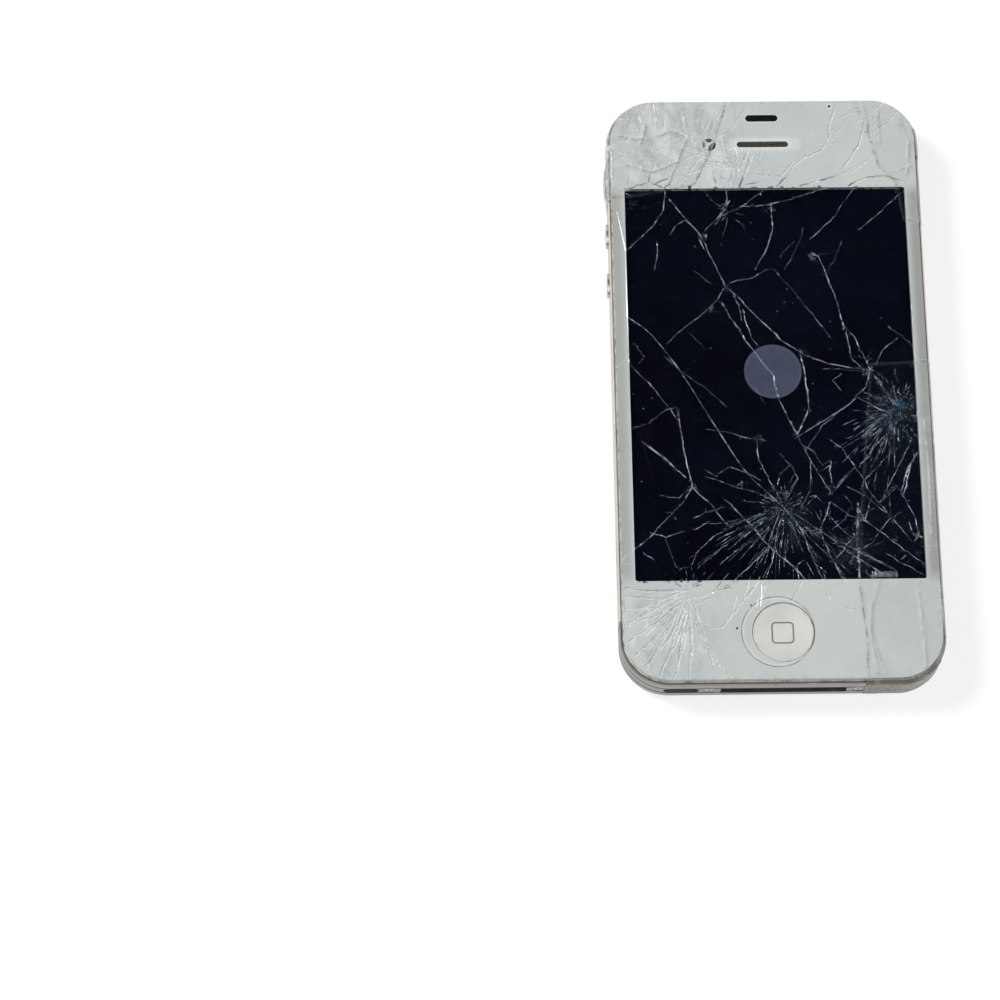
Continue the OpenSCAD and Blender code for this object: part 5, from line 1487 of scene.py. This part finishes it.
# ---------------------------------------------------------------- carried-over nodes
def dress():
    """Gives each CAD node that still shows its material."""
    steel = band_steel("band_steel")
    key = band_steel("key_steel", 0.4)
    sheet = sheet_steel("sheet_steel")
    black = moulded("black_plastic", (0.02, 0.02, 0.022), 0.45, (0.16, 0.16, 0.16))
    strip = moulded("break_strip", (0.16, 0.155, 0.14), 0.5, (0.3, 0.29, 0.26))
    white = moulded("white_plastic", (0.6, 0.6, 0.57), 0.35, (0.7, 0.7, 0.68))
    gold = sheet_steel("gilt_contact", (0.75, 0.55, 0.25))
    lens = moulded("lens_black", (0.006, 0.007, 0.01), 0.04, (0.012, 0.012, 0.018))
    card_low, card_high = (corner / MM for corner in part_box("phone_card"))
    looks = {
        "front_bezel": lip_plastic(), "rear_frame": lip_plastic(), "rear_glass": rear_print(),
        "lcd_panel": display(), "lcd_backlight": sheet, "lcd_flex": moulded("ribbon", (0.3, 0.15, 0.04), 0.3),
        "home_gasket": moulded("gasket", (0.03, 0.03, 0.03), 0.6), "home_switch": sheet,
        "earpiece_mesh": moulded("earpiece_grille", (0.05, 0.04, 0.03), 0.5, (0.3, 0.25, 0.18)),
        "battery": moulded("battery_wrap", (0.03, 0.03, 0.035), 0.35, (0.1, 0.1, 0.1)),
        "logic_board": moulded("circuit_board", (0.02, 0.09, 0.05), 0.35, (0.3, 0.3, 0.2)),
        "motor_weight": gold, "dock_contacts": gold, "phone_card": card_print(card_low, card_high),
        "camera_window": lens, "proximity_sensor": lens, "camera_flash": white,
        "headphone_jack": white, "battery_pull_tab": white,
    }
    looks["touch_flex"] = looks["lcd_flex"]
    for node in ("band_top", "band_left", "band_right"):
        looks[node] = steel
    # The band's bottom end is darker by painted shade, with more grime
    looks["band_bottom"] = band_steel("shaded_bottom_steel", 1.3, 0.75)
    for node in ("sleep_key", "volume_up_key", "volume_down_key", "mute_lever", "card_tray", "camera_ring",
                 "bottom_screws", "board_screws"):
        looks[node] = key
    for node in ("mid_plate", "shield_upper", "shield_lower", "vibration_motor", "microphones",
                 "sleep_switch", "key_bracket", "card_socket", "dock_socket"):
        looks[node] = sheet
    for node in ("top_left", "top_right", "bottom_left", "bottom_right"):
        looks["break_strip_" + node] = strip
    for name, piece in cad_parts.items():
        piece.data.materials.clear()
        piece.data.materials.append(looks.get(name, black))


# ---------------------------------------------------------------- stage
# The camera's place in millimetres, its turn in radians and its lens
CAMERA_PLACE = (-58.72, -234.54, 603.08)
CAMERA_TURN = (0.343, -0.009, -0.014)
LENS = 125.24

# Brightness that the studio sheds on the object, and that the camera and reflections see: plain white
STUDIO_LIGHT = 0.4
STUDIO_SEEN = 1.0

# In metres: half sizes of the floor and of the dark card, and the card's height
FLOOR_HALF = 3.0
CARD_HALF = 0.75
CARD_HEIGHT = 1.3


def camera():
    """Long lens that looks down from the near side."""
    made = bpy.data.cameras.new("camera")
    made.lens = LENS
    made.sensor_width = 36
    made.clip_start = 0.01
    holder = stand("camera", made)
    holder.location = Vector(CAMERA_PLACE) * MM
    holder.rotation_euler = CAMERA_TURN
    bpy.context.scene.camera = holder


def lamp(name, place, size, power, colour=(1, 1, 1)):
    """Round soft lamp that faces the object; place and size in metres, power in watts."""
    made = bpy.data.lights.new(name, "AREA")
    made.shape = "DISK"
    made.size = size
    made.energy = power
    made.color = colour
    holder = stand(name, made)
    holder.location = place
    holder.rotation_euler = Vector(place).to_track_quat("Z", "Y").to_euler()


def square(name, half, height, material, corners_in_order):
    """Flat square for the stage, in metres, that faces the way its corners' order says."""
    mesh = bpy.data.meshes.new(name)
    corners = [(-half, -half, height), (half, -half, height), (half, half, height), (-half, half, height)]
    mesh.from_pydata(corners, [], [corners_in_order])
    mesh.materials.append(material)
    holder = stand(name, mesh)
    return holder


def seen_directly(tree):
    """1 for a ray from the camera or off a glossy or clear surface, from a material's or world's tree."""
    rays = tree.nodes.new("ShaderNodeLightPath")
    seen = rays.outputs["Is Camera Ray"]
    for name in ("Is Glossy Ray", "Is Transmission Ray"):
        most = tree.nodes.new("ShaderNodeMath")
        most.operation = "MAXIMUM"
        tree.links.new(seen, most.inputs[0])
        tree.links.new(rays.outputs[name], most.inputs[1])
        seen = most.outputs[0]
    return seen


def floor():
    """Large pale floor that shows white and keeps the shadow."""
    p = Paint("floor")
    seen = seen_directly(p.tree)
    plain = p.tree.nodes.new("ShaderNodeBsdfDiffuse")
    plain.inputs[0].default_value = (0.75, 0.75, 0.75, 1)
    shaded = p.tree.nodes.new("ShaderNodeBsdfDiffuse")
    shaded.inputs[0].default_value = (0.35, 0.35, 0.35, 1)
    glow = p.tree.nodes.new("ShaderNodeEmission")
    glow.inputs[0].default_value = (1, 1, 1, 1)
    glow.inputs[1].default_value = 0.72
    both = p.tree.nodes.new("ShaderNodeAddShader")
    mixed = p.tree.nodes.new("ShaderNodeMixShader")
    for a, b in ((shaded.outputs[0], both.inputs[0]), (glow.outputs[0], both.inputs[1]),
                 (seen, mixed.inputs[0]), (plain.outputs[0], mixed.inputs[1]),
                 (both.outputs[0], mixed.inputs[2]), (mixed.outputs[0], p.output.inputs[0])):
        p.tree.links.new(a, b)
    square("floor", FLOOR_HALF, 0, p.material, (0, 1, 2, 3))


def dark_card():
    """Dark card overhead, out of view, that keeps the glass from mirroring a bright ceiling."""
    dark = Paint("dark_card").finish(Base_Color=(0.004, 0.004, 0.005), Roughness=1.0)
    card = square("dark_card", CARD_HALF, CARD_HEIGHT, dark, (3, 2, 1, 0))
    card.location = (0.1, 0.45, 0)
    card.visible_camera = False


def surroundings():
    """Even pale studio all round, and the plain view transform."""
    world = bpy.data.worlds.new("studio")
    bpy.context.scene.world = world
    world.use_nodes = True
    tree = world.node_tree
    tree.nodes.clear()
    out = tree.nodes.new("ShaderNodeOutputWorld")
    back = tree.nodes.new("ShaderNodeBackground")
    back.inputs[0].default_value = (1, 1, 1, 1)
    strength = tree.nodes.new("ShaderNodeMapRange")
    strength.inputs["To Min"].default_value = STUDIO_LIGHT
    strength.inputs["To Max"].default_value = STUDIO_SEEN
    tree.links.new(seen_directly(tree), strength.inputs["Value"])
    tree.links.new(strength.outputs[0], back.inputs[1])
    tree.links.new(back.outputs[0], out.inputs[0])
    bpy.context.scene.view_settings.view_transform = "Standard"


camera()
surroundings()
floor()
dark_card()
lamp("key", (-1.1, 0.5, 1.2), 0.5, 20, (1, 0.99, 0.98))
lamp("fill", (1.2, -0.2, 1.1), 0.8, 6, (0.97, 0.99, 1))
lamp("front", (-0.3, -1.4, 1.2), 0.7, 3)

dress()
front_glass()
home_button()
films()
crumbs()
grilles()
